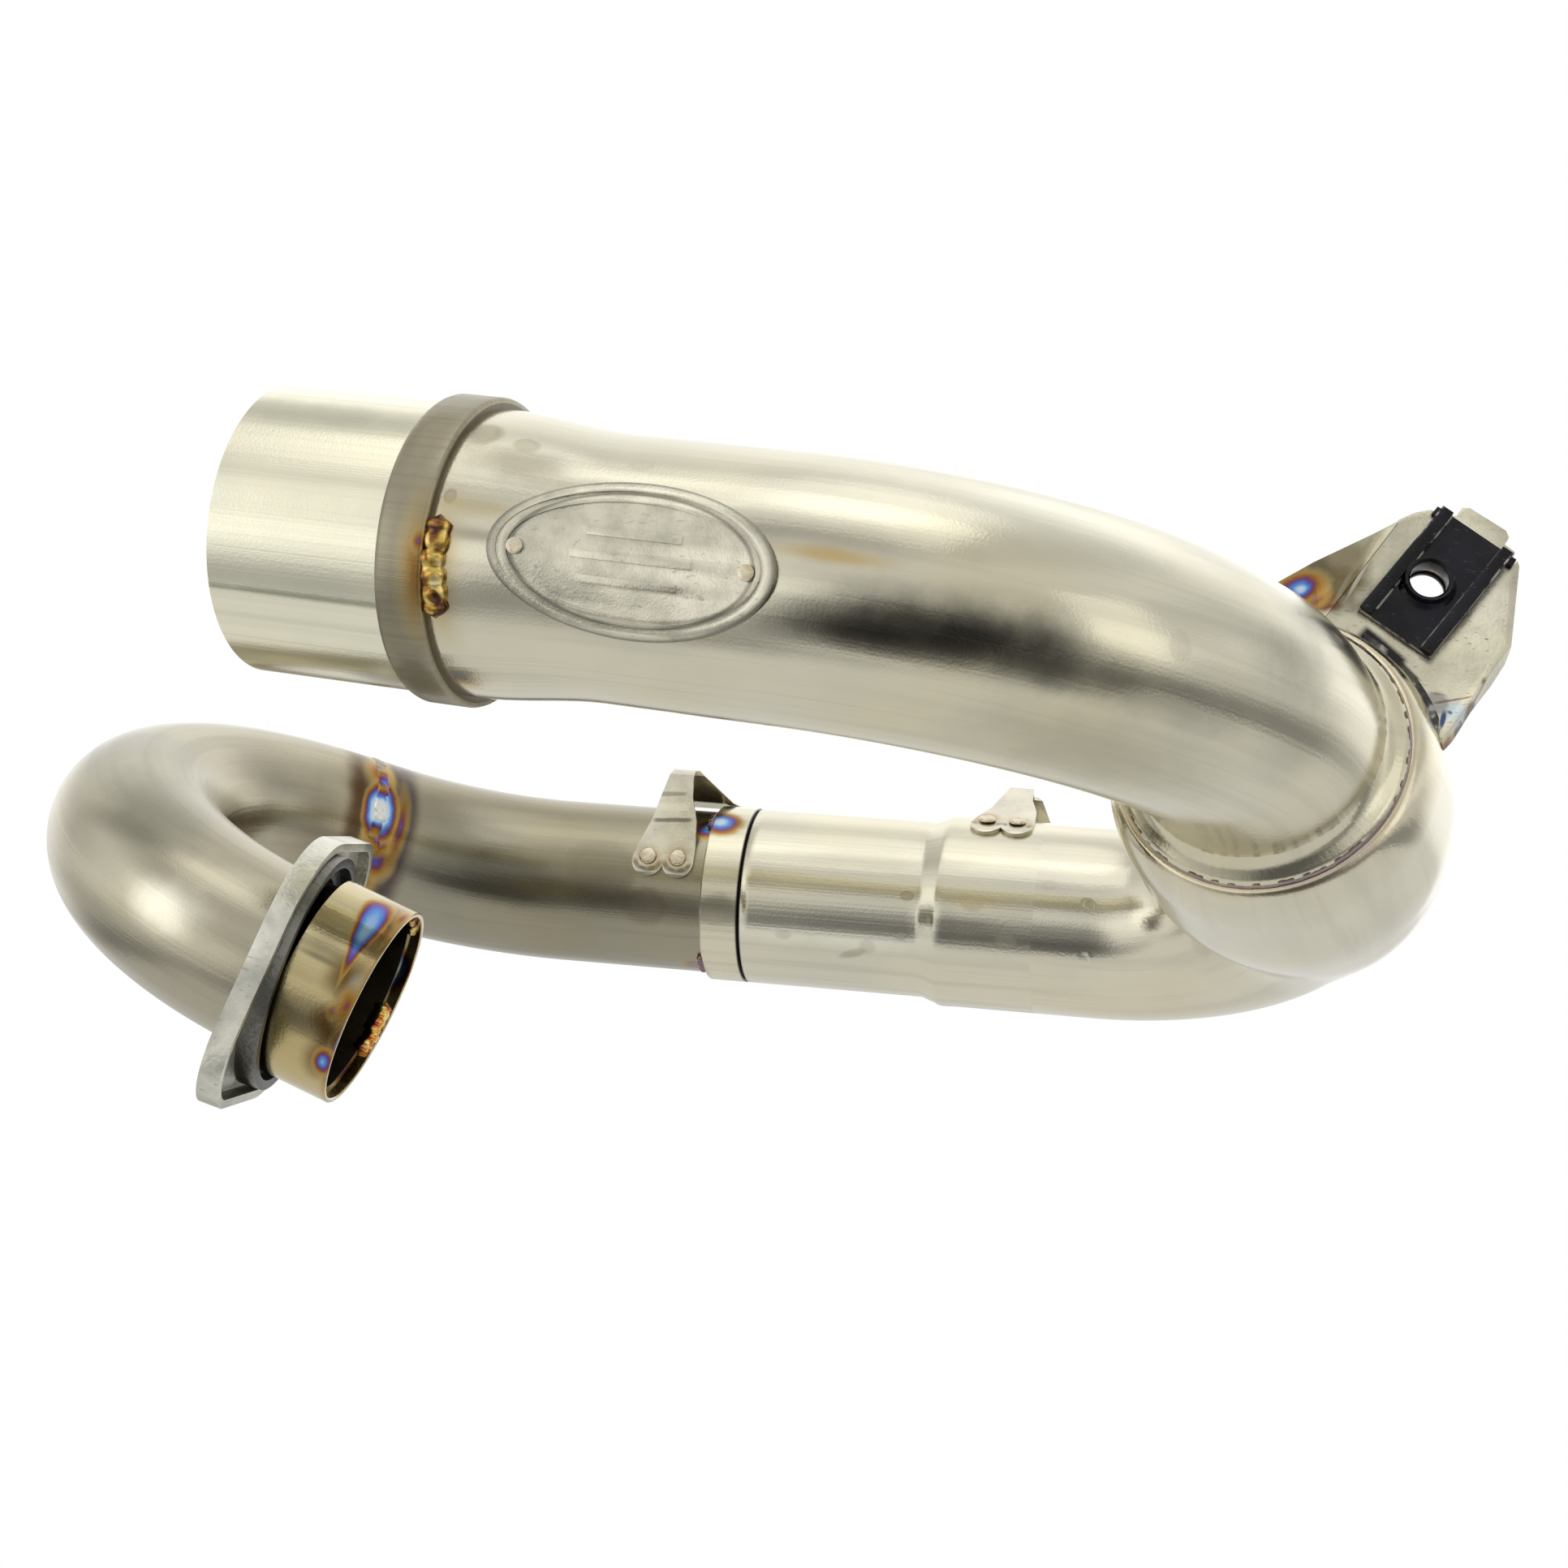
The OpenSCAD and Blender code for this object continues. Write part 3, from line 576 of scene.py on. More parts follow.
def black_paint(name, edges):
    """Black plating with painted highlight lines along some edges, given by their ends in mm."""
    ink = Ink(name)
    place = ink.place()
    cloud = ink.noise(place, 90.0, 4.0)
    nicks = ink.nicks(place, (0.3, 0.5, 0.9), (500.0, 3000.0, 1500.0), 0.68)
    colour = ink.mix(cloud.span(0.35, 0.7), (0.002, 0.002, 0.003), (0.008, 0.007, 0.013))
    colour = ink.mix(nicks * 0.25, colour, (0.16, 0.16, 0.18))
    patchy = ink.noise(place, 300.0, 3.0).span(0.40, 0.56)
    # Painted highlights along the given edges, broken up by noise
    for one, two in edges:
        way = Vector(two) - Vector(one)
        run, far = ink.by_line(place, one, way.normalized())
        edge_highlight = far.span(0.25, 0.6, 1.0, 0.0) * run.span(-0.5, 0.0)
        edge_highlight = edge_highlight * run.span(way.length, way.length + 0.5, 1.0, 0.0)
        colour = ink.mix(edge_highlight * patchy, colour, (0.42, 0.40, 0.36))
    ink.set(
        Base_Color=colour, Metallic=0.0, Roughness=0.24 + (cloud - 0.5) * 0.25 + nicks * 0.15,
        Normal=ink.bump(cloud + nicks, 0.25, 0.0004),
        Specular_IOR_Level=0.18, Coat_Weight=0.12, Coat_Roughness=0.15)
    return ink.material


# Finishes

# Near-black for painted shade in the gaps between parts
PAINTED_GAP_SHADE = (0.02, 0.02, 0.017)
# Grey for smoke, and for painted shade and dark painted reflections on the tubes
SMOKE_AND_PAINTED_SHADE = (0.26, 0.24, 0.18)
# Green-grey for a painted shade line on the sleeve
PAINTED_SHADE_GREEN = (0.24, 0.25, 0.18)
SHADOW = (0.13, 0.125, 0.095)
# The heat and smoke by the weld between the bend and the link tube
front_spots = [
    (98.0, F2 + 7.0, 8.0, 4.0, 0, 0.50, 0.9), (12.0, F2 + 4.0, 8.0, 4.5, 0, 0.50, 0.9),
    (82.0, F2 + 8.0, 6.0, 6.0, 0, 0.40, 1.0, 1.4),
    (66.0, F2 + 6.5, 5.5, 5.0, 0, 0.34, 1.0, 1.6), (54.0, F2 + 12.0, 15.0, 2.6, 0, 0.40, 0.75),
    (46.0, F2 + 5.5, 11.0, 5.6, 0, 0.0, 1.0, 2.0)]
front_smoke = [
    (56.0, F2 + 5.5, 50.0, 11.0, 0, 1.0, (0.075, 0.035, 0.012)),
    (56.0, F2 - 1.5, 44.0, 4.5, 0, 0.9, (0.09, 0.045, 0.015)),
    (56.0, F2 + 13.0, 44.0, 5.0, 0, 0.9, (0.065, 0.05, 0.055)),
    (62.0, F2 + 5.5, 40.0, 4.0, 0, 1.0, (0.70, 0.44, 0.08))]
# Apart from the smoke by the weld, the two pale marks at turn -78 on the bend are painted highlights, and
# the grey marks from turn -106 to 0 are painted shade
bend_ink = titanium(
    "bend titanium", PIPE, (0.41, 0.38, 0.285), 0.27, brush=(5.0, 0.012), warm=0.4,
    bands=[(F2 + 5.5, 6.0, 0.45, 0.52)], spots=front_spots,
    soot_and_painted_light=[
        (-78.0, 63.0, 9.0, 13, 10, 0.75, (0.60, 0.57, 0.44)),
        (-78.0, 46.0, 7.0, 10, 15, 0.95, (0.86, 0.82, 0.66)),
        (-50.0, 60.0, 4.0, 26, 18, 0.55, (0.20, 0.19, 0.145)),
        (-47.0, 107.0, 13.0, 28, 0, 0.75, (0.24, 0.23, 0.175)),
        (-27.0, 68.0, 9.0, 26, 0, 0.6, (0.25, 0.24, 0.185)),
        (-106.0, 60.0, 5.0, 24, 0, 0.15, (0.27, 0.25, 0.18)),
        *front_smoke,
        (-35.0, 62.0, 16.0, 18, 0, 0.45, (0.24, 0.23, 0.175)),
        (0.0, 92.0, 14.0, 30, 0, 0.35, (0.24, 0.23, 0.175)),
        (30.0, 150.0, 10.0, 22, 0, 0.5, (0.17, 0.15, 0.11)),
        (70.0, F2 - 14.0, 14, 18, 0, 0.45, (0.14, 0.115, 0.08))],
    shade=[(15.0, 24.0, PAINTED_GAP_SHADE)])
# The long dark marks along the link at turns 72 and 78 are a painted dark reflection band
link_ink = titanium(
    "link titanium", PIPE, (0.31, 0.29, 0.22), 0.27, brush=(5.0, 0.012), warm=0.4,
    bands=[(F2 + 5.5, 6.0, 0.45, 0.52)],
    spots=front_spots + [(17.0, F4 + 41.0, 5.0, 7.0, 30, 0.10, 1.0, 1.4),
        (136.0, F4 + 38.0, 4.0, 3.8, 0, 0.30, 0.4)],
    stains=[(84, F4 + 27, 5, 5, 0, 0.5), (60, F4 + 12, 7, 9, 0, 0.4)],
    soot_and_painted_light=[
        *front_smoke,
        (72.0, F4 - 22.0, 8.0, 40, 0, 0.7, (0.08, 0.075, 0.055)),
        (78.0, F4 + 14.0, 4.0, 24, 0, 0.45, (0.13, 0.12, 0.09))])
collar_ink = titanium(
    "collar titanium", RING, (0.64, 0.61, 0.48), 0.26, brush=(14.0, 0.004),
    spots=[(16.0, F4 + 43.5, 6.0, 7.5, 0, 0.12, 0.95, 1.3), (136.0, F4 + 41.0, 5.0, 2.0, 0, 0.5, 0.4)],
    stains=[(80, F4 + 46, 4, 4, 0, 0.4)],
    soot_and_painted_light=[(76.0, F4 + 46.0, 3.0, 14, 0, 0.6, (0.16, 0.15, 0.11))],
    shade=[(GAP - 0.35, GAP + 3.0, PAINTED_GAP_SHADE)])
# On the sleeve the pale mark at turn 40 is a painted highlight and the gold one at turn 14 a painted gold
# highlight; the green-grey mark at turn 30 and the grey one at turn 27 are painted shade
sleeve_ink = titanium(
    "sleeve titanium", RING, (0.635, 0.61, 0.49), 0.22, brush=(6.0, 0.006), warm=0.25,
    stains=[
        (12.5, 46.3, 1.2, 1.7, 0, 1.0), (39, 45, 1.3, 1.5, 0, 1.0), (54, 32, 1.0, 3.0, 20, 0.9),
        (48, 36, 1.6, 1.8, 0, 0.6),
        (44.5, 13, 1.2, 2.0, 0, 0.8), (15, 64, 2.0, 3.0, 0, 0.35), (35, 74, 2.0, 3.0, 0, 0.35)],
    soot_and_painted_light=[
        (30.0, 26.0, 0.8, 26, 0, 0.35, PAINTED_SHADE_GREEN), (-10.0, 36.0, 3.0, 30, 0, 0.35, SMOKE_AND_PAINTED_SHADE),
        (40.0, 20.0, 5.0, 44, 0, 0.7, (0.86, 0.84, 0.70)), (27.0, 62.0, 2.0, 12, 0, 0.45, SMOKE_AND_PAINTED_SHADE),
        (14.0, 64.0, 2.5, 11, 0, 0.35, (0.72, 0.56, 0.24))],
    shade=[(-2.0, 0.72, PAINTED_GAP_SHADE)])
chamber_ink = titanium(
    "chamber titanium", CHAMBER, (0.64, 0.61, 0.495), 0.18, brush=(3.0, 0.010), warm=0.35,
    bands=[(SEAM + 1.0, 4.0, 0.25, 0.5)],
    stains=[(40, 150, 6, 5, 0, 0.25), (0, 84, 2, 2, 0, 0.3)],
    soot_and_painted_light=[(-20.0, G2 - 30, 16.0, 10, 30, 0.3, SMOKE_AND_PAINTED_SHADE)])
# On the tail most smoke marks are painted light: the near-black pair at turns 152 and 146 is a painted
# reflection of the dark room behind the camera, the pale mark at -147 a painted highlight, and the grey
# marks painted shade
tail_ink = titanium(
    "tail titanium", TAIL, (0.62, 0.595, 0.475), 0.19, brush=(4.0, 0.008), warm=0.4,
    bands=[(SEAM - 1.0, 3.0, 0.35, 0.5)],
    spots=[(148.0, G6 + 70.0, 16.0, 6.0, 0, 0.72, 0.9)],
    stains=[
        (-150.5, G6 + 68, 3.0, 3.4, 0, 1.0), (-153, G6 + 57.5, 1.8, 2.4, 0, 0.7),
        (177, G6 + 69.5, 1.5, 1.4, 0, 1.0),
        (168, G6 - 70, 3, 2, 10, 0.3), (205, G6 + 30, 2, 3, 0, 0.3)],
    soot_and_painted_light=[
        (-164.0, G6 + 57.0, 4.5, 17, 0, 0.9, SMOKE_AND_PAINTED_SHADE), (-170.0, G6 + 34.0, 3.0, 34, 5, 0.5, SMOKE_AND_PAINTED_SHADE),
        (163.0, G6 + 62.0, 1.8, 14, 0, 0.6, SMOKE_AND_PAINTED_SHADE),
        (131.0, G6 + 18.0, 2.5, 44, 0, 0.3, SHADOW),
        (152.0, G6 - 37.0, 9.0, 27, 0, 0.97, (0.035, 0.034, 0.028)),
        (146.0, G6 - 20.0, 5.0, 20, 0, 0.8, (0.07, 0.065, 0.05)),
        (-178.0, G6 - 12.0, 4.5, 26, 0, 0.5, SMOKE_AND_PAINTED_SHADE),
        (-147.0, G6 - 46.0, 9.0, 36, 0, 0.75, (0.88, 0.85, 0.71)),
        (145.0, G6 - 68.0, 5.0, 26, 0, 0.5, SHADOW),
        (-180.0, G6 - 98.0, 8.0, 14, 0, 0.75, (0.22, 0.21, 0.16)),
        (172.5, G6 - 13.0, 2.2, 11, 0, 0.7, (0.50, 0.35, 0.11)),
        (174.0, G6 + 62.0, 2.6, 12, 0, 0.5, (0.42, 0.33, 0.14)),
        (-178.0, G6 + 6.0, 4.0, 16, 0, 0.3, SMOKE_AND_PAINTED_SHADE),
        (111.0, G6 - 66.0, 13.0, 30, 0, 0.45, (0.27, 0.26, 0.20)),
        (150.0, G6 - 105.0, 12.0, 14, 0, 0.35, SMOKE_AND_PAINTED_SHADE), (204.0, G6 - 106.0, 6.0, 12, 0, 0.4, SMOKE_AND_PAINTED_SHADE)])
band_ink = titanium(
    "band titanium", BAND, (0.30, 0.275, 0.20), 0.36, brush=(26.0, 0.0),
    spots=[(148.0, G6 + 74.0, 17.0, 4.5, 0, 0.66, 0.9), (158.0, G6 + 73.5, 3.0, 2.0, 0, 0.42, 0.8)],
    stains=[(120, G6 + 78, 8, 5, 0, 0.4), (100, G6 + 78, 6, 5, 0, 0.5), (200, G6 + 78, 9, 5, 0, 0.4)])
# The long marks along the outlet at turns -151, 131 and 100 are painted dark reflection bands
outlet_ink = titanium(
    "outlet titanium", OUTLET, (0.78, 0.755, 0.60), 0.22, brush=(11.0, 0.004), warm=0.25,
    soot_and_painted_light=[
        (-151.0, G6 + 108, 7.0, 60, 0, 0.6, (0.36, 0.35, 0.27)),
        (131.0, G6 + 104, 1.1, 60, 0, 0.75, (0.26, 0.28, 0.19)),
        (100.0, G6 + 100, 3.0, 50, 0, 0.3, SMOKE_AND_PAINTED_SHADE), (88.0, G6 + 90, 4.0, 9, 0, 0.6, (0.08, 0.08, 0.06))])
spigot_ink = titanium(
    "spigot titanium", 25.0, (0.52, 0.45, 0.26), 0.19, brush=(5.0, 0.01), warm=0.7,
    spots=[
        (-86, 3.6, 2.4, 1.8, 0, 0.42, 0.9), (-76, 2.4, 2.0, 1.4, 0, 0.40, 0.8),
        (-14, 1.2, 6.0, 1.6, 0, 0.46, 0.8),
        (-36, 6.3, 16.0, 3.3, 3, 0.24, 1.0, 2.6, 0.75),
        (-116, 1.9, 4.4, 3.0, 0, 0.24, 1.0, 1.5), (-80, 1.3, 6.0, 3.0, 0, 0.50, 0.95),
        (77, 4.0, 8.0, 5.0, 0, 0.05, 1.0, 1.6), (150, 5.0, 9.0, 6.0, 0, 0.2, 1.0)],
    bands=[(0.0, 3.0, 0.4, 0.56)], hollow=(0.80, 0.70, 0.42),
    soot_and_painted_light=[
        (-63.5, 12.5, 0.9, 6, 0, 0.8, (0.20, 0.17, 0.10)),
        (-56.0, 12.0, 4.0, 8, 0, 0.6, (0.22, 0.19, 0.11)),
        (-98.0, 11.0, 5.0, 9, 0, 0.55, (0.20, 0.18, 0.11)),
        (-26.0, 3.0, 16.0, 7.0, 0, 0.95, (0.16, 0.075, 0.02)),
        (-84.0, 2.0, 14.0, 3.2, 0, 0.95, (0.15, 0.07, 0.02)),
        (-66.0, 5.0, 6.0, 5.0, 0, 0.95, (0.14, 0.08, 0.02)),
        (-92.0, 4.6, 4.0, 4.0, 0, 0.9, (0.16, 0.08, 0.02)),
        (-115.0, 3.0, 7.0, 5.0, 0, 0.95, (0.16, 0.09, 0.03)),
        (-67.0, 1.8, 3.0, 2.0, 0, 0.8, (0.30, 0.28, 0.24)),
        (-40.0, 14.0, 5.0, 9, 0, 0.5, (0.22, 0.19, 0.11))])
# The flange's ring paints the boss round the bore near-black: painted shade standing in for its dark
# reflection
FLANGE_AXIS = (0.942227, 0.029666, -0.33366)
FLANGE_AT = (-18.654, 0.0, 8.501)
flange_ink = plain_metal(
    "flange titanium", (0.58, 0.57, 0.49), 0.40, 0.32, 55.0, bump=0.5, scratch=0.45,
    ring=(FLANGE_AT, FLANGE_AXIS, 29.3, 29.9, (0.085, 0.085, 0.08)))
# The spot welds of the front hook and of the middle one
A1, A2 = (43.1, 117.6, 24.4), (51.3, 117.2, 23.9)
B1, B2 = (134.7, 128.4, 34.3), (143.0, 128.0, 33.8)
# The first three hook lines run along the folds: the two dark ones are painted shade in the folds, the
# pale one a painted highlight
HOOK_LINES = [
    ((44.2, 121.6, 33.6), (54.6, 121.4, 33.7), 1.0, 0.8, (0.14, 0.13, 0.10)),
    ((45.0, 124.1, 40.5), (52.8, 124.0, 40.6), 0.8, 0.6, (0.20, 0.18, 0.14)),
    ((44.6, 122.9, 37.0), (53.6, 122.8, 37.1), 1.6, 0.5, (0.84, 0.80, 0.66))]
# Dark arcs under each spot-weld lobe: painted shadow under the lobes, with some dark tint on their rims
LOBE = [(-3.7, -1.4), (-2.6, -3.2), (0.0, -4.0), (2.6, -3.2), (3.7, -1.4)]
for lobe, rise in ((A1, (0.03, 0.4, 0.915)), (A2, (0.03, 0.4, 0.915)), (B1, (0.03, 0.72, 0.69)),
    (B2, (0.03, 0.72, 0.69))):
    rim = [tuple(c + a * x + b * z for c, x, z in zip(lobe, (0.997, -0.05, -0.06), rise)) for a,
        b in LOBE]
    HOOK_LINES += [(one, two, 1.1, 0.85, (0.13, 0.11, 0.09)) for one, two in zip(rim, rim[1:])]
hook_ink = plain_metal(
    "hook titanium", (0.62, 0.585, 0.465), 0.30, 0.14, 120.0, bump=0.2, scratch=0.3,
    heat=[(*A1, 4.2, 0.66, 0.8), (*A2, 4.2, 0.66, 0.8), (*B1, 4.4, 0.60, 0.8), (*B2, 4.2, 0.66, 0.7)],
    lines=HOOK_LINES)
badge_ink = plain_metal(
    "badge titanium", (0.58, 0.55, 0.44), 0.30, 0.16, 130.0, bump=0.25, scratch=0.3,
    oval=(rear.at(G6 + 25.5) @ roll(160.7), 33.0, 16.8))
weld_dark = weld_metal(
    "tack weld",
    [(0.0, (0.24, 0.14, 0.15)), (0.5, (0.20, 0.13, 0.19)), (0.8, (0.32, 0.21, 0.15)),
     (1.0, (0.40, 0.33, 0.25))])
seam_ink = weld_metal(
    "seam weld",
    [(0.0, (0.36, 0.29, 0.24)), (0.5, (0.27, 0.22, 0.25)), (1.0, (0.46, 0.40, 0.31))], 0.3, 60.0)
front_bead_ink = plain_metal(
    "front bead", (0.22, 0.18, 0.13), 0.26, 0.2, 200.0,
    heat=[
        (*spot_at(front, F2 + 7.0, 98.0, PIPE), 6.5, 0.55, 1.0),
        (*spot_at(front, F2 + 8.0, 80.0, PIPE), 6.5, 0.42, 1.0),
        (*spot_at(front, F2 + 6.5, 66.0, PIPE), 5.0, 0.36, 1.0),
        (*spot_at(front, F2 + 5.5, 22.0, PIPE), 6.5, 0.35, 1.0),
        (*spot_at(front, F2 + 5.5, 46.0, PIPE), 8.5, -0.35, 1.0)])
weld_gold = weld_metal(
    "gold weld",
    [(0.0, (0.06, 0.03, 0.03)), (0.3, (0.30, 0.14, 0.04)), (0.6, (0.66, 0.46, 0.10)),
     (1.0, (0.82, 0.70, 0.36))])
weld_rose = weld_metal(
    "rose weld",
    [(0.0, (0.40, 0.08, 0.16)), (0.35, (0.66, 0.26, 0.05)), (0.7, (0.80, 0.58, 0.14)),
     (1.0, (0.86, 0.78, 0.45))], 0.2, 330.0)
weld_grey = weld_metal(
    "grey weld",
    [(0.0, (0.03, 0.03, 0.03)), (0.6, (0.09, 0.085, 0.08)), (1.0, (0.34, 0.33, 0.31))])
nugget_ink = weld_metal(
    "spot weld",
    [(0.0, (0.50, 0.42, 0.28)), (0.5, (0.66, 0.61, 0.48)), (1.0, (0.56, 0.45, 0.27))], 0.28, 500.0)

# The clip's own frame on the bracket's plate, and the edges that get painted highlight lines
CLIP = PLATE @ shift(-0.2, 1.9) @ roll(-120.8)
CLIP_HIGHLIGHT_EDGES = [
    ((-16.1, -11.8, 1.2), (-16.1, 9.0, 1.2)), ((-16.1, -11.8, 1.8), (19.4, -11.8, 3.0)),
    ((-16.1, 9.0, 1.8), (19.4, 9.0, 3.0)),
    ((-15.0, -8.7, 1.3), (19.0, -8.7, 1.6)), ((-15.0, 5.9, 1.3), (19.0, 5.9, 1.6))]
clip_ink = black_paint(
    "black clip", [tuple(tuple(CLIP @ Vector(q)) for q in pair) for pair in CLIP_HIGHLIGHT_EDGES])


# Tubes

def swell(s):
    """Outside radius of the chamber half along the rear path."""
    start = G1 + math.radians(59) * 56
    r = INLET + (CHAMBER - INLET) * smooth((s - start) / (G2 + 19 - start))
    z = s - G2 - 35.3
    if z > 0:
        r = SEAM_R + (CHAMBER - SEAM_R) * math.sqrt(max(0.0, 1 - (z / 14.0) ** 2))
    return r


spigot = tube(
    "spigot_tube", front, [(0, 24.75), (0.25, 25), (18.3, 25), (18.5, 24.8)],
    [(0, 24.05), (0.25, 23.8), (18.4, 23.8), (18.5, 23.9)], spigot_ink, 2.0)
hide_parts("port_spigot")
bend = tube(
    "bend_tube", front,
    [(3, 23.6), (3.1, 23.7), (14, 23.7), (15.5, 23.55), (18.5, 22.4), (20, PIPE), (F2 + 5.5, PIPE)],
    [(3, 22.8), (3.1, 22.7), (14, 22.7), (20, 21.25), (F2 + 5.5, 21.25)], bend_ink, 3.0)
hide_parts("port_bend")
link = tube(
    "link_pipe", front, [(F2 + 5.5, PIPE), (F4 + 80, PIPE)], [(F2 + 5.5, 21.25), (F4 + 80, 21.25)],
    link_ink, 3.0)
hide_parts("link_tube")
collar = tube(
    "collar_bush", front,
    [(F4 + 41.6, 23.7), (F4 + 42.0, RING), (GAP - 0.15, RING), (GAP, RING - 0.15), (GAP, 22.95),
     (GAP + 28, 22.95)],
    [(F4 + 41.6, PIPE), (GAP + 28, PIPE)], collar_ink, 3.0)
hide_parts("slip_collar")
sleeve = tube(
    "sleeve_tube", rear,
    [(0.6, RING - 0.2), (0.8, RING), (48.6, RING), (49.4, RING + 0.1), (50.4, RING + 0.5),
     (52.8, INLET - 0.55), (53.6, INLET - 0.12), (54.6, INLET + 0.12), (56.4, INLET + 0.12),
     (58.0, INLET), (80.3, INLET)],
    [(0.6, RING - 0.9), (0.8, 23.1), (49.5, 23.1), (62.5, 25.0), (80.3, 25.0)], sleeve_ink, 2.5, sharp=50)
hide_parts("mid_tube")

shell_out = [(INLET_LINE, INLET), (G1, INLET)]
s = G1
while s < SEAM - 0.3:
    shell_out.append((s, swell(s)))
    s += 2.5 if s < G2 + 30 else 0.8
shell_out += [(SEAM - 0.25, swell(SEAM - 0.25)), (SEAM, SEAM_R)]
shell_in = [(INLET_LINE, 25.0), (G1, 25.0)]
s = G1 + 5
while s < SEAM - 1.0:
    shell_in.append((s, swell(s) - 1.2))
    s += 5
shell_in.append((SEAM, SEAM_R - 1.2))
shell = tube("chamber_can", rear, shell_out, shell_in, chamber_ink, 3.0, sharp=60, segments=128)
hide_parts("chamber_shell")

neck = [
    (SEAM, SEAM_R), (SEAM + 1.4, SEAM_R - 0.05), (SEAM + 2.4, 33.6), (SEAM + 3.4, 32.2),
    (SEAM + 4.6, 31.1), (SEAM + 5.9, 30.35), (G3, TAIL)]
flare = [(G6 + 40 + 31 * i / 10, TAIL + (FLARE - TAIL) * smooth(i / 10)) for i in range(11)]
tail = tube(
    "tail_pipe", rear, neck + [(G6, TAIL)] + flare + [(G6 + 78, FLARE)],
    [(SEAM, SEAM_R - 1.2), (SEAM + 3.0, 31.6), (SEAM + 5.2, 29.6), (G3, TAIL - 1), (G6 + 40, TAIL - 1),
     (G6 + 71, FLARE - 1), (G6 + 78, FLARE - 1)],
    tail_ink, 3.0, sharp=60, segments=128)
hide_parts("tail_tube")
outlet = tube(
    "outlet_pipe", rear,
    [(G6 + 78, FLARE), (G6 + 84.3, FLARE), (G6 + 84.4, OUTLET), (G6 + 126.8, OUTLET),
     (G6 + 127, OUTLET - 0.2)],
    [(G6 + 78, 31.8), (G6 + 126.8, 31.8), (G6 + 127, 32.0)], outlet_ink, 3.0, segments=128)
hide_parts("outlet_tube")
band = tube(
    "outlet_ring", rear,
    [(G6 + 72.5, BAND - 0.7), (G6 + 72.8, BAND - 0.2), (G6 + 73.4, BAND), (G6 + 82.6, BAND),
     (G6 + 83.4, BAND - 0.3), (G6 + 84, BAND - 0.8)],
    [(G6 + 72.5, FLARE), (G6 + 84, FLARE)], band_ink, 3.0, sharp=50, segments=128)
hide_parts("outlet_band")

# Weld beads

front_bead = bead("front_bead", front, FRONT_WELD, PIPE, 3.4, 0.32, front_bead_ink, pitch=2.6, seed=3)
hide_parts("front_weld")
seam_bead = bead(
    "seam_bead", rear, SEAM + 0.35, SEAM_R + 0.05, 2.4, 0.34, seam_ink, pitch=2.0, seed=5, ripple=0.08)
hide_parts("chamber_seam")
inlet_bead = bead(
    "inlet_bead", rear, INLET_LINE, INLET - 0.02, 1.2, 0.10, sleeve_ink, pitch=2.0, seed=6, ripple=0.1)
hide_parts("inlet_weld")
for i, start in enumerate((70, 190, 310)):
    tack = bead(
        "collar_tack_%d" % i, rear, -10.9, PIPE + 0.7, 2.2, 1.0, weld_dark,
        start=start + 1, sweep=20, pitch=1.6, seed=8 + i)
    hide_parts("collar_tacks")
mouth_runs = [
    (99, 36, 4.4, 1.9, weld_rose), (215, 28, 2.4, 1.0, weld_gold),
    (300, 34, 2.4, 1.0, weld_gold), (20, 26, 2.4, 1.0, weld_gold)]
for i, (start, sweep, width, height, ink) in enumerate(mouth_runs):
    run = bead(
        "mouth_bead_%d" % i, front, 2.4, 23.3, width, height, ink,
        start=start, sweep=sweep, pitch=1.9, seed=20 + i)
    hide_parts("spigot_weld")
tack = bead(
    "band_tack", rear, G6 + 70.8, FLARE + 0.7, 6.0, 2.0, weld_gold, start=129, sweep=40, pitch=3.6,
    seed=31)
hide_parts("band_weld")

# Cut and pressed pieces

refined("flange_plate", "port_flange", flange_ink, 0.5, 3, body="flange")
refined("hook_front", "front_spring_hook", hook_ink, 0.25)
refined("hook_rear", "mid_spring_hook", hook_ink, 0.25)
refined("hook_front_spots", "front_hook_welds", nugget_ink, 0.25)
refined("hook_rear_spots", "mid_hook_welds", nugget_ink, 0.25)
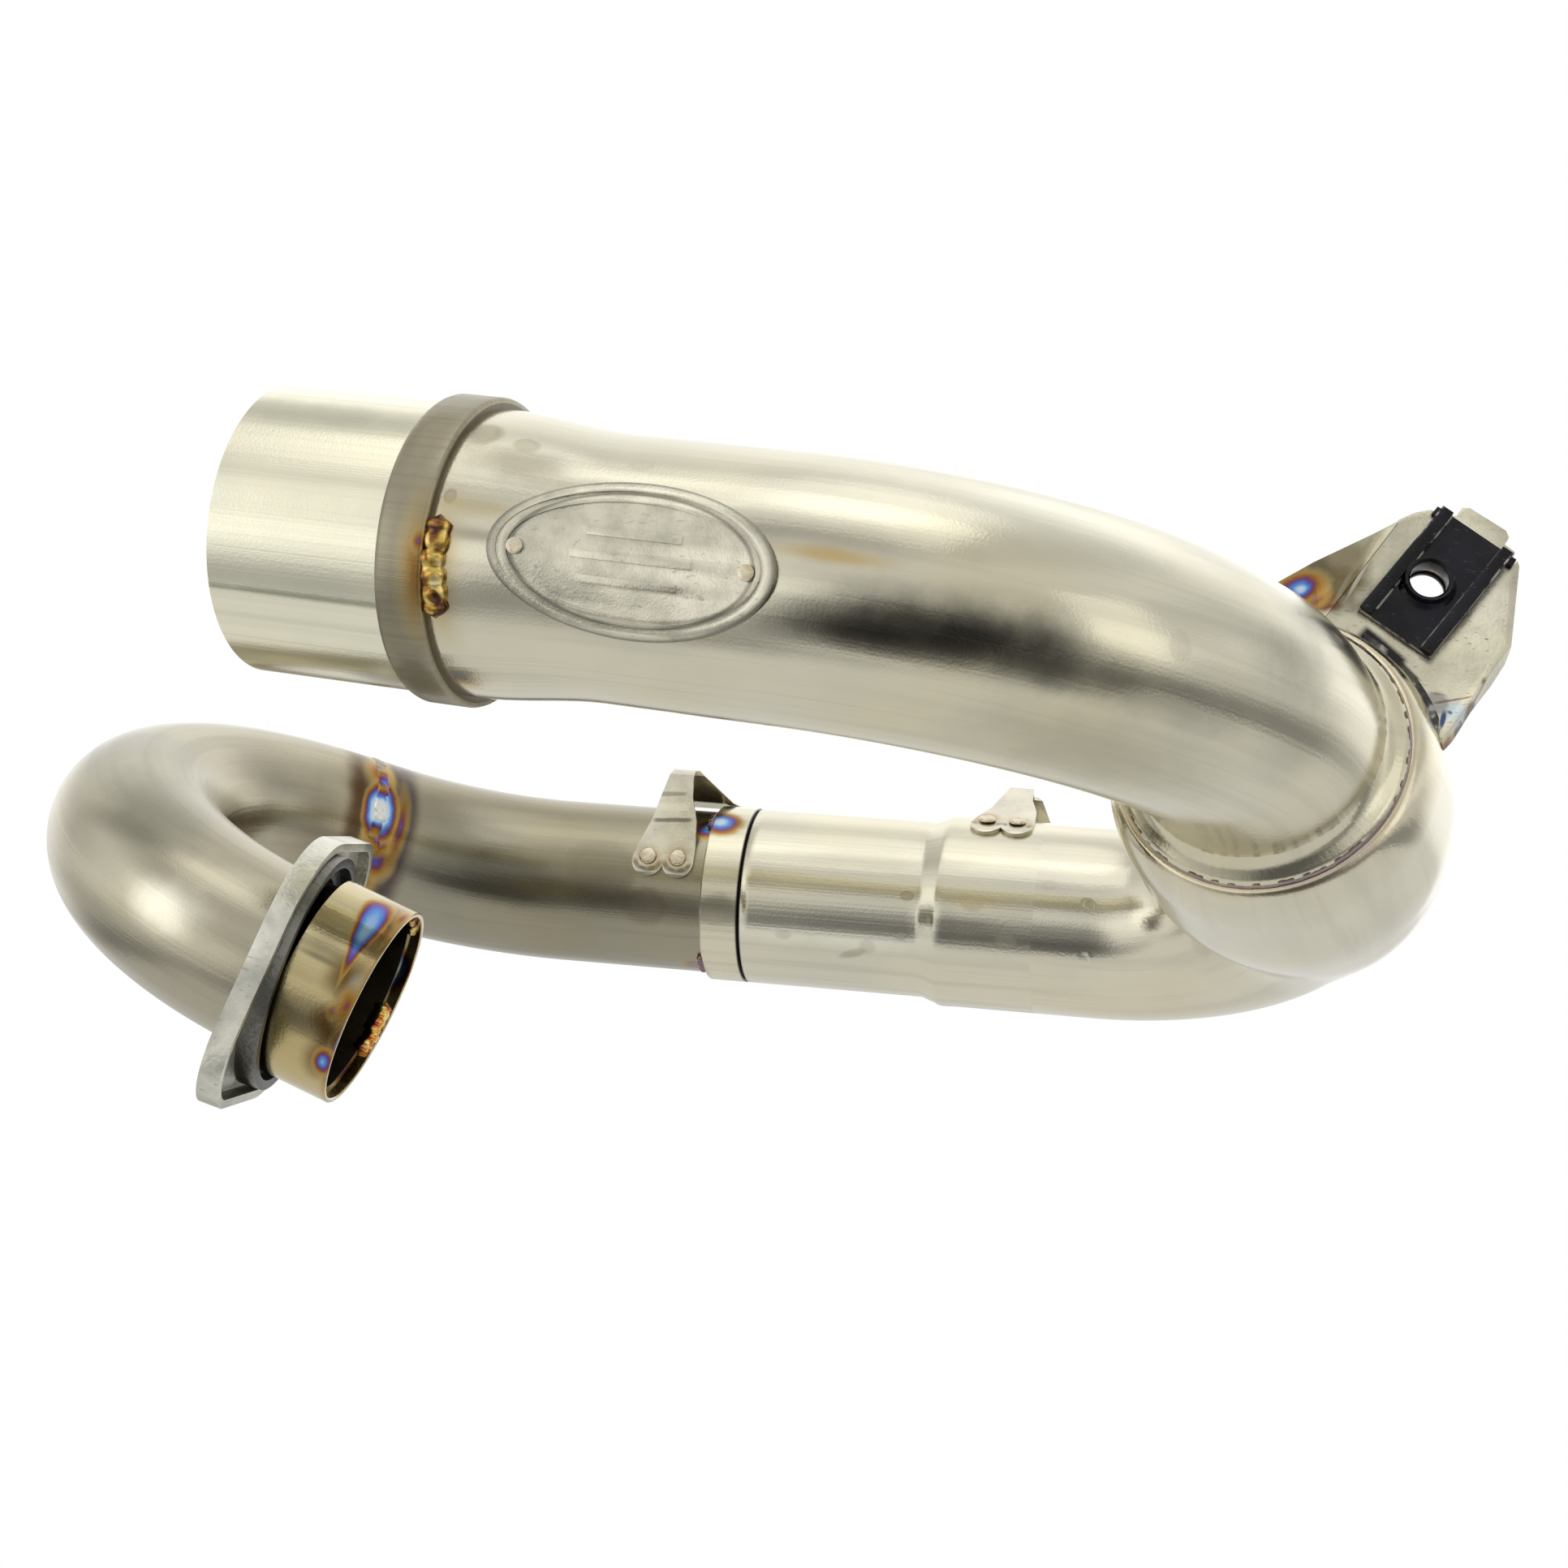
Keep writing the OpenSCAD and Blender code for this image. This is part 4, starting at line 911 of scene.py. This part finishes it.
# Near-black for the painted shade along the gap between the bracket plate and the chamber
PAINTED_GAP_SHADOW = (0.03, 0.028, 0.026)
INK_BLUE = (0.035, 0.06, 0.16)
bracket_ink = plain_metal(
    "bracket titanium", (0.56, 0.53, 0.40), 0.32, 0.16, 80.0, bump=0.2, scratch=0.55,
    marks=[
        (224.0, 62.0, 102.0, 13.0, 0.95, (0.11, 0.085, 0.035)),
        (223.5, 55.4, 95.1, 4.0, 0.95, (0.13, 0.05, 0.012)),
        (258.2, 48.6, 69.0, 3.4, 0.95, (0.09, 0.04, 0.012)),
        (255.8, 47.4, 64.6, 3.0, 0.95, (0.09, 0.04, 0.012)),
        (254.2, 46.2, 68.5, 3.6, 0.7, (0.46, 0.56, 0.62)),
        (231.0, 66.0, 108.0, 8.0, 0.6, (0.30, 0.26, 0.16)),
        (262.0, 60.0, 96.0, 9.0, 0.25, (0.72, 0.70, 0.60)),
        (249.8, 45.5, 71.4, 3.4, 0.9, (0.30, 0.30, 0.29))],
    heat=[
        (221.0, 57.0, 95.8, 4.6, 0.42, 1.0), (217.6, 61.0, 98.6, 7.0, 0.12, 1.0),
        (252.3, 45.5, 61.5, 3.4, 0.45, 1.0)],
    lines=[
        ((261.5, 50.0, 77.0), (257.0, 47.8, 66.0), 1.1, 0.8, (0.14, 0.07, 0.02)),
        ((249.5, 45.3, 71.4), (258.0, 47.2, 72.9), 0.45, 0.7, (0.16, 0.09, 0.04)),
        ((232.0, 51.4, 88.0), (242.0, 49.0, 80.4), 2.8, 1.0, PAINTED_GAP_SHADOW),
        ((241.0, 49.0, 81.0), (245.4, 47.2, 76.4), 1.4, 0.9, PAINTED_GAP_SHADOW),
        ((234.7, 66.3, 110.7), (225.3, 53.9, 94.6), 0.8, 0.45, (0.24, 0.22, 0.16)),
        ((236.6, 65.3, 109.6), (227.6, 53.4, 94.4), 0.7, 0.5, (0.74, 0.71, 0.58)),
        ((251.8, 44.2, 69.6), (250.6, 42.6, 64.4), 0.8, 0.95, INK_BLUE),
        ((250.6, 42.6, 64.4), (253.9, 46.0, 62.0), 0.8, 0.95, INK_BLUE),
        ((249.0, 46.6, 73.6), (257.5, 48.0, 72.0), 0.6, 0.9, (0.30, 0.17, 0.06)),
        ((252.6, 44.4, 69.6), (256.5, 47.2, 66.0), 0.6, 0.9, INK_BLUE),
        ((259.5, 54.0, 87.6), (262.5, 56.0, 86.0), 0.4, 0.8, SHADOW),
        ((254.0, 48.6, 77.8), (258.5, 50.6, 79.0), 0.5, 0.8, SHADOW),
        ((243.0, 53.0, 82.4), (246.0, 53.6, 81.4), 0.4, 0.8, SHADOW),
        ((257.0, 51.0, 84.0), (259.0, 53.0, 84.6), 0.3, 0.7, SHADOW)])
refined("bracket_plate", "mount_bracket", bracket_ink, 0.4)
refined("bracket_beads", "bracket_welds", weld_grey, 0.3)
clip = refined("clip", "clip_nut", clip_ink, 0.3)

# The clip's side walls are folded over into narrow strips: its frame has x along it, y across it and z
# away from the plate, and its middle is 1.4 mm off the frame's
to_world = Matrix.Scale(MM, 4) @ CLIP
to_clip = to_world.inverted()
for v in clip.data.vertices:
    q = to_clip @ v.co
    from_edge = 10.4 - abs(q.y + 1.4)
    if q.z > 1.05 and from_edge < 1.7 and q.x < 19.5:
        if from_edge > 0.55:
            q.y -= 2.0 if q.y > -1.4 else -2.0
        q.z = min(q.z, 1.2) + max(0.0, q.z - 1.2) * 0.42
        v.co = to_world @ q
refined("badge", "badge_plate", badge_ink, 0.2)
refined("badge_spots", "badge_welds", nugget_ink, 0.2)

# Studio

FLOOR_AT = (0.1, 0.42, -0.32)
floor_ink = Ink("white floor")
lights = floor_ink.add("ShaderNodeLightPath", out="Is Camera Ray")
glossy = floor_ink.add("ShaderNodeLightPath", out="Is Glossy Ray")
seen = lights.high(glossy)
glow = floor_ink.add("ShaderNodeEmission", None, {"Color": (1, 1, 1, 1), "Strength": 1.0 - glossy * 0.18})
floor_ink.set(Base_Color=(0.85, 0.85, 0.85, 1), Roughness=0.9)
diffuse = Val(floor_ink, floor_ink.shader.outputs[0])
both = floor_ink.add("ShaderNodeMixShader", None, {0: seen, 1: diffuse, 2: glow})
output = floor_ink.tree.nodes["Material Output"]
floor_ink.tree.links.new(both.socket, output.inputs["Surface"])
bm = bmesh.new()
bmesh.ops.create_grid(bm, x_segments=1, y_segments=1, size=0.8)
bmesh.ops.translate(bm, verts=bm.verts, vec=FLOOR_AT)
mesh = bpy.data.meshes.new("floor")
bm.to_mesh(mesh)
bm.free()
mesh.materials.append(floor_ink.material)
floor = bpy.data.objects.new("floor", mesh)
bpy.context.scene.collection.objects.link(floor)

# Camera, at the photograph's place and angle

AZ, EL, ROLL = 8.908, 5.058, 0.267
CAMERA_AT = (214.2, -733.9, 120.4)
PHOTO_WIDTH = 1932
FOCAL_LENGTH = 3950.5
SENSOR = 36.0
az, el, ro = (math.radians(a) for a in (AZ, EL, ROLL))
right = Vector((math.cos(az), math.sin(az), 0))
ahead = Vector((-math.sin(az) * math.cos(el), math.cos(az) * math.cos(el), -math.sin(el)))
down = ahead.cross(right)
right_r = right * math.cos(ro) + down * math.sin(ro)
down_r = down * math.cos(ro) - right * math.sin(ro)
cam_data = bpy.data.cameras.new("camera")
cam_data.sensor_fit = "HORIZONTAL"
cam_data.sensor_width = SENSOR
cam_data.lens = FOCAL_LENGTH / PHOTO_WIDTH * SENSOR
cam_data.clip_end = 50
cam = bpy.data.objects.new("camera", cam_data)
axes = Matrix((right_r, -down_r, -ahead)).transposed().to_4x4()
cam.matrix_world = Matrix.Translation(Vector(CAMERA_AT) * MM) @ axes
bpy.context.scene.collection.objects.link(cam)
bpy.context.scene.camera = cam

# World: a pale tent with a soft box over it, a dark stretch of table edge, and the room behind the camera

world = bpy.data.worlds.new("studio")
bpy.context.scene.world = world
world.use_nodes = True


class Sky(Ink):
    def __init__(self, tree):
        self.tree = tree

    def toward(self, x, y, z):
        """How far a direction points this way, from -1 to 1."""
        aim = Vector((x, y, z)).normalized()
        return self.vec("DOT_PRODUCT", way, tuple(aim), out=1)


sky = Sky(world.node_tree)
way = sky.add("ShaderNodeTexCoord", out="Generated")
height = sky.add("ShaderNodeSeparateXYZ", None, [way], 2)
tent = 0.76 + height.span(0.90, 0.98) * 0.60 + height.span(0.42, 0.56) * height.span(0.62, 0.78, 1.0,
    0.0) * 0.14
tent = tent + height.span(-0.10, 0.04) * height.span(0.12, 0.30, 1.0, 0.0) * 0.24
tent = tent - height.span(-0.34, -0.20, 1.0, 0.0) * height.span(-0.74, -0.50) * 0.42
window = sky.toward(-0.80, -0.60, 0.05).span(0.70, 0.97)
backdrop = sky.toward(0.0, 1.0, 0.1).span(0.30, 0.85)
level = tent + window * 0.22 + backdrop * 0.50
lens = sky.toward(0.0, -0.96, -0.30).span(0.86, 0.98)
level = (level * (1 - lens * 0.62)).high(0.04)
shown = sky.add("ShaderNodeLightPath", out="Is Camera Ray")
level = level * (1 - shown) + shown
glow = world.node_tree.nodes["Background"]
world.node_tree.links.new(level.socket, glow.inputs["Strength"])
glow.inputs["Color"].default_value = (1, 1, 1, 1)


def lamp(name, place, wide, tall, power):
    """A soft box that faces the object. Sizes are in metres and the power is in watts."""
    data = bpy.data.lights.new(name, "AREA")
    data.energy = power
    data.shape = "RECTANGLE"
    data.size = wide
    data.size_y = tall
    obj = bpy.data.objects.new(name, data)
    obj.location = place
    obj.rotation_euler = (Vector((0.1, 0.0, 0.05)) - Vector(place)).to_track_quat("-Z", "Y").to_euler()
    bpy.context.scene.collection.objects.link(obj)


lamp("top box", (0.0, -0.35, 1.1), 1.1, 0.6, 1.1)
lamp("left box", (-1.1, -0.7, 0.35), 0.6, 0.9, 0.7)
lamp("right box", (1.2, -0.6, 0.3), 0.5, 0.8, 0.6)

bpy.context.scene.view_settings.view_transform = "Standard"
